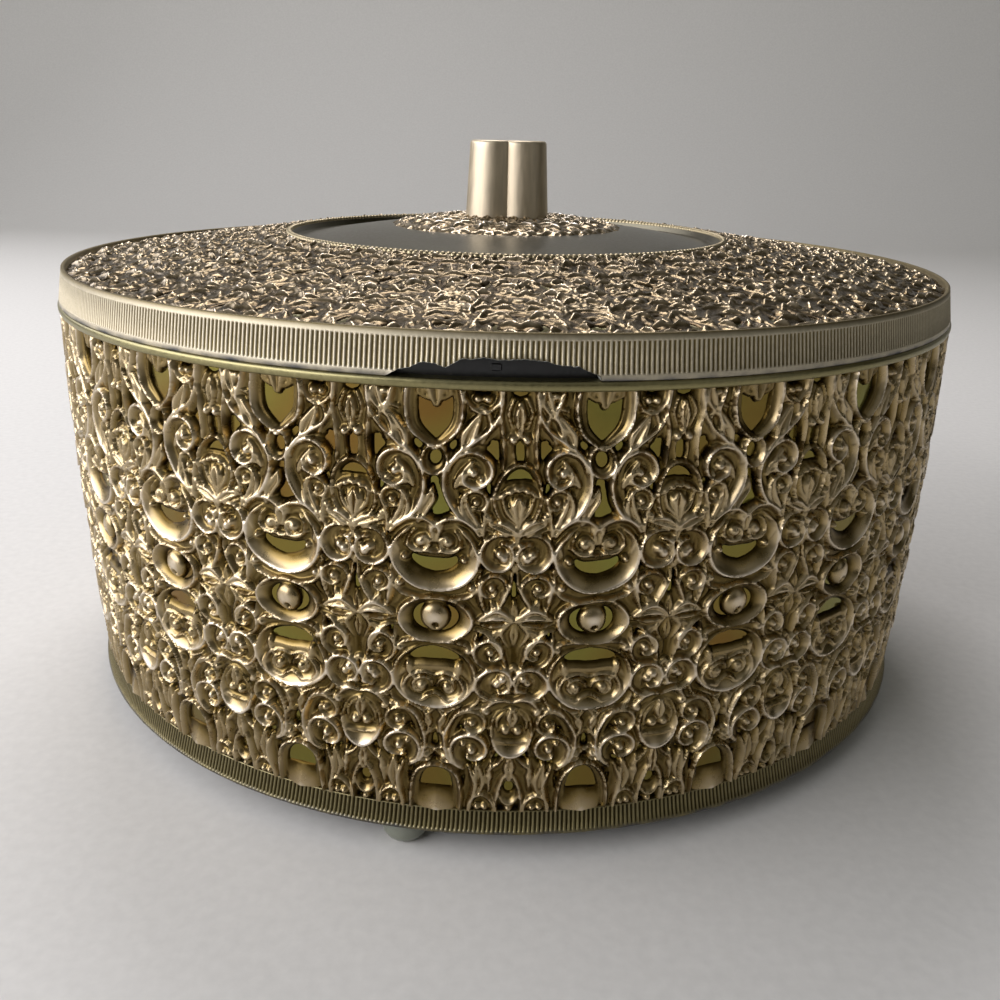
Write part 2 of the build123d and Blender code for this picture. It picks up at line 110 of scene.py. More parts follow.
@dataclass
class Relief:
    """Ornament drawn as heights in millimetres over a set of places.

    Attributes:
        x: Sideways place of each sample, in mm.
        y: Place down the ornament of each sample, in mm.
        place: Turns a point of the drawing into (x, y).
        breadth: Factor on every strip's width.
        flank: Width of the slope down from every edge, in mm.
        height: Height drawn at each sample, in mm.
        pierced: How open the ground is at each sample, from 0 to 1.
        steps: Samples of a strip's middle line for each point that it is drawn through.
        cut_steps: The same for an opening.
        curl_steps: Samples along a scroll.
        cut_slope: Width of the slope into an opening, in mm.
    """

    x: np.ndarray
    y: np.ndarray
    place: Callable[[Point], Point]
    breadth: float = 1.0
    flank: float = 0.24
    height: np.ndarray = field(init=False)
    pierced: np.ndarray = field(init=False)
    steps: int = 26
    cut_steps: int = 20
    curl_steps: int = 90
    cut_slope: float = 0.45

    def __post_init__(self) -> None:
        """Starts with nothing raised and nothing pierced."""
        self.height = np.zeros_like(self.x)
        self.pierced = np.zeros_like(self.x)

    def near(self, low: np.ndarray, high: np.ndarray) -> Tuple[np.ndarray, np.ndarray, np.ndarray]:
        """Samples inside a box.

        Args:
            low: Lowest corner.
            high: Highest corner.

        Returns:
            Their indices, x and y.
        """
        inside = (self.x > low[0]) & (self.x < high[0]) & (self.y > low[1]) & (self.y < high[1])
        found = np.nonzero(inside)
        return found, self.x[found], self.y[found]

    def line(self, points: Sequence[Point], count: int) -> np.ndarray:
        """A smooth line through the points of the drawing.

        Args:
            points: Points that the line passes through.
            count: Samples along it.

        Returns:
            Its samples, one row each.
        """
        knots = np.array([self.place(p) for p in points], float)
        knots = np.vstack([2 * knots[0] - knots[1], knots, 2 * knots[-1] - knots[-2]])
        along = np.linspace(0, len(points) - 1, count)
        first = np.minimum(along.astype(int), len(points) - 2)
        t = (along - first)[:, None]
        a, b, c, d = (knots[first + k] for k in range(4))
        curve = (2 * a - 5 * b + 4 * c - d) * t**2 + (3 * b - a - 3 * c + d) * t**3
        return 0.5 * (2 * b + (c - a) * t + curve)

    def across(
        self, line: np.ndarray, half: np.ndarray, x: np.ndarray, y: np.ndarray
    ) -> Tuple[np.ndarray, np.ndarray, np.ndarray]:
        """Where samples lie on a strip.

        Args:
            line: The strip's middle line.
            half: Half its width at each sample of the line.
            x: Sideways places.
            y: Places down.

        Returns:
            Nearest sample of the line, distance from it, and side of it.
        """
        tangent = np.gradient(line, axis=0)
        dx = x[:, None] - line[:, 0]
        dy = y[:, None] - line[:, 1]
        square = dx * dx + dy * dy
        nearest = (square / (half * half + 0.02)).argmin(1)
        rows = np.arange(len(x))
        side = tangent[nearest, 0] * dy[rows, nearest] - tangent[nearest, 1] * dx[rows, nearest]
        return nearest, np.sqrt(square[rows, nearest]), np.sign(side)

    def strip(
        self,
        points: Sequence[Point],
        widths: Sequence[float],
        height: float,
        section: Section = Section.SCOOP,
        rim: int = -1,
    ) -> None:
        """Raises a strip of ornament.

        Args:
            points: Points of its middle line.
            widths: Widths from its start to its end, evenly spaced.
            height: Its height at the rim.
            section: Its shape across.
            rim: Side of the raised rim: -1 is left of the way it is drawn, on a page with y down.
        """
        line = self.line(points, self.steps * len(points))
        self.lay(line, widths, height, section, rim)

    def lay(
        self,
        line: np.ndarray,
        widths: Sequence[float],
        height: float,
        section: Section,
        rim: int,
    ) -> None:
        """Raises a strip along a sampled line; the other arguments are those of strip().

        Args:
            line: Samples of its middle line.
            widths: Widths from its start to its end, evenly spaced.
            height: Its height at the rim.
            section: Its shape across.
            rim: Side of the raised rim, as in strip().
        """
        steps = np.linspace(0, 1, len(line))
        half = np.interp(steps, np.linspace(0, 1, len(widths)), widths) * self.breadth / 2
        found, x, y = self.near(line.min(0) - half.max(), line.max(0) + half.max())
        if not len(x):
            return
        nearest, distance, side = self.across(line, half, x, y)
        half = half[nearest]
        place = np.clip(0.5 + 0.5 * side * rim * distance / half, 0, 1)
        edge = smoothstep((half - distance) / self.flank)
        self.raise_to(found, height * section.share(1 - place) * edge)

    def raise_to(self, found: np.ndarray, height: np.ndarray) -> None:
        """Lifts samples to a height where they lie lower."""
        self.height[found] = np.maximum(self.height[found], height)

    def bead(self, centre: Point, radius: float, height: float, foot: float = 0.0) -> None:
        """Raises a round bead.

        Args:
            centre: Its middle.
            radius: Its radius.
            height: Height of its crown.
            foot: Height it stands on.
        """
        middle = np.array(self.place(centre))
        found, x, y = self.near(middle - radius, middle + radius)
        out = np.hypot(x - middle[0], y - middle[1]) / radius
        crown = foot + (height - foot) * np.sqrt(np.clip(1 - out * out, 0, 1))
        self.raise_to(found, np.where(out < 1, crown, 0))

    def plate(self, centre: Point, half: Point, height: float) -> None:
        """Raises a plate with a ridge down its middle, which rises to its foot.

        Args:
            centre: Its middle.
            half: Half its width and half its height.
            height: Height of its ridge at the foot.
        """
        middle = np.array(self.place(centre))
        found, x, y = self.near(middle - half, middle + half)
        across, down = (x - middle[0]) / half[0], (y - middle[1]) / half[1]
        inside = np.minimum((1 - abs(across)) * half[0], (1 - abs(down)) * half[1])
        crown = height * (1 - 0.55 * abs(across)) * (0.55 + 0.45 * down)
        self.raise_to(found, crown * smoothstep(inside / self.flank))

    def dent(self, centre: Point, radius: float, height: float) -> None:
        """Lowers a small round pit to a height.

        Args:
            centre: Its middle.
            radius: Its radius.
            height: Height of its bottom.
        """
        middle = np.array(self.place(centre))
        found, x, y = self.near(middle - radius, middle + radius)
        share = smoothstep((1 - np.hypot(x - middle[0], y - middle[1]) / radius) / 0.5)
        self.height[found] += (np.minimum(height, self.height[found]) - self.height[found]) * share

    def ring(
        self,
        centre: Point,
        outer: Point,
        inner_centre: Point,
        inner: Point,
        height: float,
        section: Section = Section.SCOOP,
    ) -> None:
        """Raises an oval ring, with its rim outside, whose opening may lie off its middle.

        Args:
            centre: Middle of the outside.
            outer: Half width and half height of the outside.
            inner_centre: Middle of the opening.
            inner: Half width and half height of the opening.
            height: Height at the rim.
            section: Its shape across.
        """
        middle, hole = np.array(self.place(centre)), np.array(self.place(inner_centre))
        found, x, y = self.near(middle - outer, middle + outer)
        out = (1 - np.hypot((x - middle[0]) / outer[0], (y - middle[1]) / outer[1])) * min(outer)
        into = (np.hypot((x - hole[0]) / inner[0], (y - hole[1]) / inner[1]) - 1) * min(inner)
        place = out / np.maximum(out + into, 1e-6)
        edge = smoothstep(out / self.flank) * smoothstep(into / self.flank)
        self.raise_to(found, np.where((out > 0) & (into > 0), height * section.share(place) * edge, 0))

    def curl(
        self,
        centre: Point,
        radius: float,
        start: float,
        turns: float,
        width: float,
        height: float,
        bead: float,
        eye: float = 0.34,
    ) -> None:
        """Raises a scroll that winds in to a bead.

        Args:
            centre: Middle of the scroll.
            radius: Radius where it starts.
            start: Angle in degrees where it starts, clockwise from the right.
            turns: Turns that it makes, clockwise if positive.
            width: Greatest width of its strip.
            height: Height of its rim.
            bead: Radius of the bead.
            eye: Share of the radius at which it ends.
        """
        middle = np.array(self.place(centre))
        steps = np.linspace(0, 1, self.curl_steps)
        reach = radius * eye**steps
        turn = np.radians(start + 360 * turns * steps)
        line = np.stack([middle[0] + reach * np.cos(turn), middle[1] + reach * np.sin(turn)], 1)
        widths = (0.45 * width, 0.9 * width, width, 0.9 * width, 0.6 * width)
        self.lay(line, widths, height, Section.SCOOP, -1 if turns > 0 else 1)
        found, x, y = self.near(middle - bead, middle + bead)
        out = np.hypot(x - middle[0], y - middle[1]) / bead
        crown = 0.92 * height * np.sqrt(np.clip(1 - out * out, 0, 1))
        self.raise_to(found, np.where(out < 1, crown, 0))

    def pierce(self, points: Sequence[Point], widths: Sequence[float]) -> None:
        """Opens the ground along a line.

        Args:
            points: Points of the opening's middle line.
            widths: Its widths from start to end.
        """
        line = self.line(points, self.cut_steps * len(points))
        half = np.interp(np.linspace(0, 1, len(line)), np.linspace(0, 1, len(widths)), widths) / 2
        found, x, y = self.near(line.min(0) - half.max(), line.max(0) + half.max())
        if len(x):
            nearest, distance, _ = self.across(line, half, x, y)
            depth = smoothstep((half[nearest] - distance) / self.cut_slope)
            self.pierced[found] = np.maximum(self.pierced[found], depth)

    def pierce_oval(self, centre: Point, half: Point) -> None:
        """Opens the ground inside an oval, given its middle and its half width and half height.

        Args:
            centre: Its middle.
            half: Its half width and half height.
        """
        middle = np.array(self.place(centre))
        found, x, y = self.near(middle - half, middle + half)
        depth = (1 - np.hypot((x - middle[0]) / half[0], (y - middle[1]) / half[1])) * min(half)
        self.pierced[found] = np.maximum(self.pierced[found], smoothstep(depth / self.cut_slope))


@dataclass
class Ornament:
    """An ornament of mirrored tiles round the box, drawn on one half of a tile.

    Attributes:
        tiles: Tiles round the box.
        columns: Samples across half a tile.
        depth: Greatest height of the relief, in mm.
        ground: Height of the ground between the elements, in mm.
        swell: How much the ground rises near an element.
        waver: How far the carving strays sideways, in mm.
        hole: Height of the pierced places, under the backing's surface.
        seed: Seed of the waver.
        breadth: Factor on every strip's width.
        fine: Distance between the samples, in mm.
        flank: Width of the slope down from every edge, in mm.
        gap: Distance over which a gap between elements is looked for, in mm.
        gap_share: Share of relief round a place under which its ground opens.
        gap_slope: Change of that share over which it opens.
        swell_reach: How far from an element the ground rises, in mm.
        stray_size: Size of the waver's bends, in mm.
        heave: Greatest share of the height that the hollows take.
        heave_size: Size of the hollows, in mm.
    """

    tiles: int = 24
    columns: int = 112
    depth: float = 2.55
    ground: float = 0.3
    swell: float = 0.28
    waver: float = 0.16
    hole: float = -0.35
    seed: int = 7
    breadth: float = 1.4
    fine: float = 0.15
    flank: float = 0.24
    gap: float = 0.5
    gap_share: float = 0.22
    gap_slope: float = 0.12
    swell_reach: float = 0.9
    stray_size: float = 5.0
    heave: float = 0.0
    heave_size: float = 1.8

    def samples(self, columns: np.ndarray) -> Tuple[np.ndarray, np.ndarray]:
        """Places (x, y) of the samples at those columns, in mm."""
        raise NotImplementedError

    def place(self, point: Point) -> Point:
        """Place of a point of the drawing, in mm."""
        return point

    def draw(self, relief: Relief) -> None:
        """Draws the mirrored half of a tile."""
        raise NotImplementedError

    def draw_whole(self, relief: Relief) -> None:
        """Draws what isn't mirrored; nothing, unless the ornament says so."""

    def flat_relief(self, first: int, last: int) -> Relief:
        """Flat relief over the columns from the first to the last, counted from axis A."""
        places = self.samples(np.arange(first, last + 1))
        return Relief(*places, self.place, self.breadth, self.flank)

    def tile(self) -> Tuple[np.ndarray, np.ndarray]:
        """Height and piercing of one whole tile, from one B axis to the next.

        Returns:
            Height and piercing of its samples.
        """
        half = self.columns
        spare = (3 * half) // 4
        relief = self.flat_relief(-spare, half + spare)
        self.draw(relief)
        whole = self.flat_relief(-half, half)
        whole.height, whole.pierced = self.fold(relief.height, spare), self.fold(relief.pierced, spare)
        self.draw_whole(whole)
        return whole.height, whole.pierced

    def fold(self, layer: np.ndarray, spare: int) -> np.ndarray:
        """Mirrors a half tile about both its axes.

        Args:
            layer: Samples of the half, with spare columns on both sides.
            spare: Number of spare columns.

        Returns:
            The whole tile, from one B axis to the next.
        """
        half = self.columns
        place = np.arange(half + 1)
        kept = layer[:, spare + place]
        for mirrored in (spare - place, spare + 2 * half - place):
            known = (mirrored >= 0) & (mirrored < layer.shape[1])
            other = layer[:, np.clip(mirrored, 0, layer.shape[1] - 1)]
            kept = np.maximum(kept, np.where(known, other, 0))
        return np.concatenate([kept[:, :0:-1], kept], axis=1)

    def heights(self) -> np.ndarray:
        """Heights of the whole ornament in mm over its backing, once round the box.

        Returns:
            The heights, in rows down and columns round.
        """
        height, pierced = self.tile()
        height, pierced = height[:, :-1], pierced[:, :-1]
        near = soften(height, self.swell_reach / self.fine) * self.swell
        drawn = height > 0.02
        gap = soften(drawn.astype(float), self.gap / self.fine)
        pierced = np.maximum(pierced, smoothstep((self.gap_share - gap) / self.gap_slope))
        ground = self.ground + near
        ground = ground + (self.hole - ground) * pierced
        height = np.where(drawn, np.maximum(height, ground), ground)
        height = soften(height, 1.1)
        whole = np.tile(np.minimum(height, self.depth), (1, self.tiles))
        return self.heaved(self.strayed(whole))

    def heaved(self, height: np.ndarray) -> np.ndarray:
        """Lowers the ornament in small hollows, so that single tips stand up.

        Args:
            height: Heights of the ornament.

        Returns:
            The lowered heights.
        """
        hills = drift(height.shape, self.heave_size / self.fine, self.seed + 5)
        share = 1 - self.heave * smoothstep(0.5 + 0.4 * hills)
        return np.where(height > 0, height * share, height)

    def strayed(self, height: np.ndarray) -> np.ndarray:
        """Shifts every place a little, as in a hand-cut mould.

        Args:
            height: Heights of the ornament.

        Returns:
            The shifted heights.
        """
        rows, columns = np.indices(height.shape)
        size = self.stray_size / self.fine
        shift = [drift(height.shape, size, self.seed + k) * self.waver / self.fine for k in range(2)]
        held = np.minimum(1, np.minimum(rows, rows[::-1]) / 12)  # The outer rows stay where they are
        down = np.clip(rows + shift[0] * held, 0, len(height) - 1.001)
        side = (columns + shift[1]) % height.shape[1]
        top, left = down.astype(int), side.astype(int)
        right = (left + 1) % height.shape[1]
        a, b = down - top, side - left
        upper = height[top, left] * (1 - b) + height[top, right] * b
        lower = height[top + 1, left] * (1 - b) + height[top + 1, right] * b
        return upper * (1 - a) + lower * a


def drift(shape: Tuple[int, int], size: float, seed: int) -> np.ndarray:
    """Smooth random values of unit spread.

    Args:
        shape: Rows and columns.
        size: Size of a patch, in samples.
        seed: Seed of the draw.

    Returns:
        The values; they close round the columns.
    """
    noise = np.fft.rfft2(np.random.default_rng(seed).standard_normal(shape))
    down = np.fft.fftfreq(shape[0])[:, None]
    side = np.fft.rfftfreq(shape[1])[None]
    noise = np.fft.irfft2(noise * np.exp(-20 * size * size * (down**2 + side**2) / 4), shape)
    return noise / noise.std()


@dataclass
class SideOrnament(Ornament):
    """The side's ornament: an axis of rings and an eye (A), and one of medallions and stars (B).

    Attributes:
        half_width: Width of half a tile, from axis A to axis B, in mm.
        high: Height of the ornament, in mm.
    """

    half_width: float = 16.75
    high: float = 98.5

    def samples(self, columns: np.ndarray) -> Tuple[np.ndarray, np.ndarray]:
        """Places of the samples at those columns, unrolled."""
        levels = np.linspace(0, self.high, int(round(self.high / self.fine)) + 1)
        return np.meshgrid(columns * self.half_width / self.columns, levels)

    def draw(self, relief: Relief) -> None:
        """Draws the half tile from the rim band down to the foot.

        Args:
            relief: Relief to draw on.
        """
        self.shield_and_scrolls(relief)
        self.medallion(relief)
        self.upper_circle(relief)
        self.eye_and_star(relief)
        self.lower_circle(relief)
        self.lower_medallion(relief)
        self.foot_row(relief)
        self.openings(relief)

    def shield_and_scrolls(self, r: Relief) -> None:
        """Draws the shield window, the small ring and the round scrolls beside it.

        Args:
            r: Relief to draw on.
        """
        strip, leaf = r.strip, Section.LEAF
        strip([(4.5, -1), (4.9, 3.5), (4.2, 7.2), (2.2, 9.6), (-0.4, 11.6)], (1.8, 2.0, 1.9, 1.6, 1.1), 2.45)
        strip([(0, -1), (0, 3.0)], (4.0, 1.4), 1.4, leaf)
        strip([(2.4, -1), (2.9, 1.0), (1.6, 2.2)], (1.4, 1.2, 0.8), 1.2, leaf)
        r.ring((0, 14.2), (2.9, 3.6), (0, 14.1), (1.2, 1.6), 2.5)
        strip(
            [(14.0, -1), (13.6, 3.5), (12.1, 7.6), (8.6, 10.9), (4.9, 13.4), (3.1, 17.0),
             (3.3, 20.6), (5.2, 24.4), (8.6, 27.6)],
            (1.2, 1.4, 1.6, 1.7, 1.7, 1.9, 2.4, 2.4, 1.2), 2.4, rim=1,
        )
        r.curl((7.9, 16.6), 4.4, 185, 0.95, 2.2, 2.4, 1.25)
        r.bead((6.1, 18.7), 0.9, 1.9)
        r.bead((9.5, 18.1), 0.95, 1.9)
        strip([(4.4, 19.4), (5.8, 17.2), (7.6, 14.6)], (0.8, 1.6, 0.8), 1.9, leaf)
        strip([(5.7, 13.0), (7.0, 9.4), (9.0, 5.6)], (1.0, 3.2, 1.0), 2.0, leaf)
        strip([(9.4, 10.4), (10.6, 7.2), (9.6, 4.4), (7.4, 4.6)], (0.9, 1.6, 1.6, 0.9), 1.9, rim=1)
        r.curl((8.7, 22.7), 3.0, 150, 0.9, 1.6, 2.2, 1.05)
        strip([(6.4, 20.6), (6.2, 23.4), (7.2, 26.2), (9.4, 29.2)], (0.8, 2.0, 2.4, 1.2), 2.0, leaf)
        strip([(11.8, 22.0), (11.0, 25.2), (10.6, 27.8), (10.4, 30.6)], (1.2, 2.0, 1.8, 1.0), 2.0, rim=1)

    def medallion(self, r: Relief) -> None:
        """Draws the bell, the oval medallion with its bud, and the palmette under it.

        Args:
            r: Relief to draw on.
        """
        b, strip, leaf = self.half_width, r.strip, Section.LEAF
        strip(
            [(b - 3.2, -1), (b - 3.4, 3.0), (b - 3.0, 6.5), (b - 2.5, 9.0), (b - 2.6, 12.2),
             (b - 3.1, 15.6)],
            (1.2, 1.3, 1.5, 1.9, 1.6, 1.0), 2.2, rim=1,
        )
        strip([(b - 1.1, 2.0), (b - 1.8, 4.6), (b - 1.2, 7.4)], (0.9, 1.4, 0.8), 1.8, rim=1)
        strip([(b, 2.6), (b, 7.8)], (0.9, 2.0, 1.2), 2.0, leaf)
        r.bead((b - 1.3, 9.7), 1.2, 2.2)
        r.bead((b, 8.8), 0.9, 1.8)
        strip([(b - 1.6, 10.4), (b - 1.7, 12.6), (b - 1.4, 14.8)], (0.9, 0.9, 1.0), 1.6)
        r.ring((b, 21.8), (5.0, 7.2), (b, 21.9), (3.5, 5.6), 2.55)
        strip([(b - 3.9, 20.8), (b - 2, 19.5), (b, 19.3)], (1.8, 1.8, 1.7), 1.7, rim=1)
        r.bead((b, 20.1), 0.65, 2.1)
        r.bead((b - 1.6, 20.4), 0.8, 2.1)
        r.bead((b - 3.0, 21.1), 0.7, 1.9)
        strip(
            [(b - 3.6, 21.6), (b - 3.1, 24.8), (b - 1.6, 27.0), (b, 28.6)],
            (1.3, 2.0, 2.0, 1.2), 1.7, rim=-1,
        )
        strip([(b, 22.0), (b, 26.8)], (1.0, 2.4, 1.6, 0.8), 2.0, leaf)
        strip([(b - 1.5, 21.8), (b - 2.0, 24.0), (b - 0.9, 26.4)], (0.7, 1.1, 0.6), 1.6, rim=-1)
        strip([(b - 0.2, 29.4), (b - 2.6, 28.0), (b - 5.4, 27.2)], (1.0, 2.4, 1.2), 2.1, leaf)
        strip([(b - 0.2, 29.8), (b - 3.0, 30.2), (b - 6.2, 28.8)], (0.8, 1.3, 0.7), 1.8, rim=1)
        r.bead((b - 5.8, 25.9), 1.0, 2.0)
        strip([(b, 27.6), (b, 31.2)], (0.8, 1.8, 0.8), 2.0, leaf)

    def upper_circle(self, r: Relief) -> None:
        """Draws the kidney of two scrolls and the big dished circle over the eye.

        Args:
            r: Relief to draw on.
        """
        b, strip, leaf = self.half_width, r.strip, Section.LEAF
        r.curl((b - 3.4, 33.9), 3.9, -75, -0.98, 2.2, 2.4, 1.3, 0.5)
        r.bead((b - 2.4, 34.7), 1.5, 2.3)
        r.bead((b - 0.8, 32.0), 1.0, 2.1)
        strip([(b - 1.0, 32.8), (b - 1.2, 35.2), (b - 0.2, 37.6)], (1.0, 1.5, 0.8), 1.8, leaf)
        strip([(b - 4.6, 32.0), (b - 5.0, 34.2), (b - 4.2, 36.2)], (0.6, 1.1, 0.6), 1.5)
        r.ring((0, 34.9), (9.3, 8.0), (0, 33.0), (6.4, 6.2), 2.5, Section.DISH)
        strip([(0, 29.2), (3.0, 27.4), (6.6, 27.8), (8.8, 30.2)], (1.8, 2.4, 2.2, 0.9), 2.2, rim=-1)
        strip([(0, 28.6), (0, 31.6)], (2.8, 1.0), 1.8, leaf)
        r.curl((2.7, 31.8), 2.7, -60, 0.85, 1.5, 2.2, 1.5)
        strip([(5.4, 29.6), (7.0, 31.6), (6.9, 34.0)], (0.8, 1.7, 0.9), 2.0, rim=-1)
        strip([(0, 34.5), (2.8, 34.2), (5.8, 32.8)], (1.3, 1.4, 0.8), 2.1, rim=-1)
        r.bead((6.0, 35.4), 0.9, 2.1)
        strip([(0, 44.4), (3.6, 44.0), (6.6, 43.0), (8.4, 41.2)], (0.9, 1.4, 1.8, 1.3), 2.2, rim=1)
        r.bead((7.4, 41.5), 1.1, 2.2)

    def eye_and_star(self, r: Relief) -> None:
        """Draws the volutes, the eye with its round boss and the star of leaves.

        Args:
            r: Relief to draw on.
        """
        b, strip, leaf = self.half_width, r.strip, Section.LEAF
        strip(
            [(b - 0.9, 38.4), (b - 1.4, 40.6), (b - 3.1, 43.4), (b - 4.0, 46.8)],
            (0.9, 1.6, 2.4, 1.0), 2.2, rim=-1,
        )
        r.curl((b - 4.9, 41.6), 3.2, 20, -0.9, 1.8, 2.3, 1.15)
        strip(
            [(b - 7.9, 37.8), (b - 8.7, 41.0), (b - 8.1, 44.4), (b - 6.6, 47.4)],
            (0.9, 2.0, 2.4, 0.9), 2.1, rim=-1,
        )
        r.ring((0, 49.3), (8.4, 5.4), (0, 49.1), (5.4, 3.7), 2.5, Section.DISH)
        r.bead((0, 49.0), 3.3, 2.2, 0.3)
        strip([(b - 0.1, 49.3), (b - 3.8, 47.4), (b - 7.9, 49.0)], (0.6, 2.8, 0.6), 2.2, leaf)
        strip([(b, 50.2), (b, 55.0)], (0.7, 1.7, 0.6), 1.5, leaf)
        strip([(b - 0.1, 49.6), (b - 4.4, 51.4), (b - 8.2, 49.9)], (0.6, 2.3, 0.5), 1.9, rim=1)
        strip([(b - 0.4, 49.2), (b - 2.4, 46.6), (b - 1.4, 43.0)], (0.6, 2.0, 0.6), 1.9, rim=-1)
        strip([(b - 1.6, 47.4), (b - 4.2, 46.0), (b - 5.0, 44.6)], (0.6, 1.5, 0.6), 1.7, leaf)
        strip([(b - 0.3, 49.8), (b - 2.0, 52.0), (b - 1.2, 55.2)], (0.6, 1.9, 0.6), 1.9, rim=1)
        strip([(b - 1.4, 50.8), (b - 4.0, 52.4), (b - 5.4, 53.0)], (0.6, 1.4, 0.6), 1.6, leaf)
        strip([(b, 49.0), (b, 44.6)], (0.9, 1.4, 0.5), 1.5, leaf)
        r.curl((b - 4.9, 56.6), 3.5, 100, 0.95, 2.2, 2.3, 1.2)
        strip(
            [(b - 1.4, 60.4), (b - 1.8, 56.8), (b - 3.5, 53.6), (b - 5.8, 51.4), (b - 8.2, 51.2)],
            (0.9, 2.0, 2.3, 1.7, 0.8), 2.1, rim=-1,
        )
        strip([(b - 8.3, 52.4), (b - 9.0, 54.8), (b - 8.4, 57.8)], (0.9, 2.0, 0.9), 2.0, rim=-1)
        strip([(0, 54.7), (3.6, 54.8), (6.2, 55.5), (8.0, 57.2)], (0.9, 1.3, 1.7, 1.3), 2.1, rim=-1)
        r.bead((7.2, 56.5), 1.1, 2.1)

    def lower_circle(self, r: Relief) -> None:
        """Draws the dished circle under the eye and the lower kidney.

        Args:
            r: Relief to draw on.
        """
        b, strip, leaf, rounded_bar = self.half_width, r.strip, Section.LEAF, Section.ROUND
        r.ring((0, 63.3), (9.4, 7.8), (0, 61.7), (7.2, 5.8), 2.5, Section.DISH)
        strip([(0, 61.3), (3.6, 61.2), (6.0, 61.7), (7.6, 63.4)], (2.0, 2.1, 1.9, 0.9), 1.15, rounded_bar)
        strip([(5.6, 60.2), (5.4, 61.8), (4.6, 63.4)], (1.2, 1.7, 1.0), 1.75, rounded_bar)
        strip(
            [(0.4, 63.1), (2.6, 62.6), (5.0, 63.6), (6.0, 66.0), (4.6, 68.4)],
            (0.8, 1.2, 1.6, 1.8, 1.0), 2.2, rim=-1,
        )
        r.curl((2.9, 65.6), 2.2, 180, 0.85, 1.5, 2.1, 1.35)
        strip([(4.9, 68.6), (2.6, 69.6), (1.3, 68.4), (0, 67.6)], (1.0, 1.5, 1.2, 0.9), 2.1, rim=1)
        strip([(5.6, 70.2), (2.4, 71.3), (0, 70.4)], (0.9, 1.3, 0.9), 2.2, rim=-1)
        strip([(9.9, 67.2), (8.7, 69.4), (6.6, 71.0)], (0.7, 1.6, 0.7), 1.8, rim=-1)
        r.curl((b - 3.5, 64.2), 4.0, 75, 0.98, 2.3, 2.4, 1.3, 0.5)
        r.bead((b - 2.4, 63.1), 1.4, 2.3)
        r.bead((b - 0.9, 66.2), 1.05, 2.1)
        strip([(b - 0.2, 60.2), (b - 1.4, 62.4), (b - 1.0, 65.0)], (0.8, 1.5, 0.8), 1.8, leaf)
        strip([(b - 4.9, 66.2), (b - 5.4, 63.8), (b - 4.4, 61.8)], (0.6, 1.1, 0.6), 1.5, rim=1)

    def lower_medallion(self, r: Relief) -> None:
        """Draws the palmette, the lower medallion and the scrolls beside it.

        Args:
            r: Relief to draw on.
        """
        b, strip, leaf = self.half_width, r.strip, Section.LEAF
        strip([(b - 0.2, 69.2), (b - 2.8, 69.4), (b - 5.6, 71.6)], (1.0, 2.4, 1.5), 2.2, rim=1)
        strip([(b - 0.2, 68.8), (b - 3.0, 68.2), (b - 6.0, 69.0)], (0.8, 1.3, 0.8), 1.8, leaf)
        r.bead((b - 5.4, 71.8), 1.1, 2.1)
        r.ring((b, 76.9), (5.0, 6.6), (b, 74.9), (3.7, 3.9), 2.55, Section.DISH)
        strip([(b, 71.0), (b, 75.2)], (0.9, 2.2, 0.9), 2.0, leaf)
        strip([(b - 1.2, 71.8), (b - 2.7, 74.2), (b - 2.9, 76.8)], (0.8, 1.4, 0.8), 1.7, rim=1)
        r.bead((b - 1.35, 76.4), 1.35, 2.0)
        strip([(b - 3.6, 78.3), (b - 1.8, 78.9), (b, 79.0)], (1.0, 1.1, 1.1), 1.9, rim=1)
        r.curl((8.2, 75.0), 3.2, -150, 0.9, 1.8, 2.2, 1.1)
        strip(
            [(9.8, 71.2), (6.2, 72.2), (4.0, 75.4), (3.0, 79.0), (3.8, 83.6), (6.2, 86.6)],
            (0.9, 1.7, 1.7, 1.9, 1.9, 0.9), 2.4, rim=1,
        )
        r.curl((8.0, 81.6), 4.5, 120, 0.95, 2.4, 2.4, 1.3)
        r.bead((6.2, 80.2), 0.85, 1.9)
        strip([(11.2, 76.2), (12.0, 79.6), (12.2, 83.4)], (0.8, 1.6, 0.8), 1.8, rim=-1)
        strip([(0, 71.8), (1.2, 74.2), (0.4, 77.4)], (1.0, 2.2, 1.0), 1.6, rim=-1)
        strip([(3.4, 72.2), (1.8, 75.0), (2.2, 78.2)], (0.9, 1.9, 0.8), 2.0, rim=1)
        strip([(0.2, 77.0), (1.9, 80.0), (1.0, 83.2)], (0.8, 2.0, 0.8), 1.6, rim=-1)
        r.curl((1.9, 83.6), 2.5, -170, 0.8, 1.5, 2.2, 0.95)

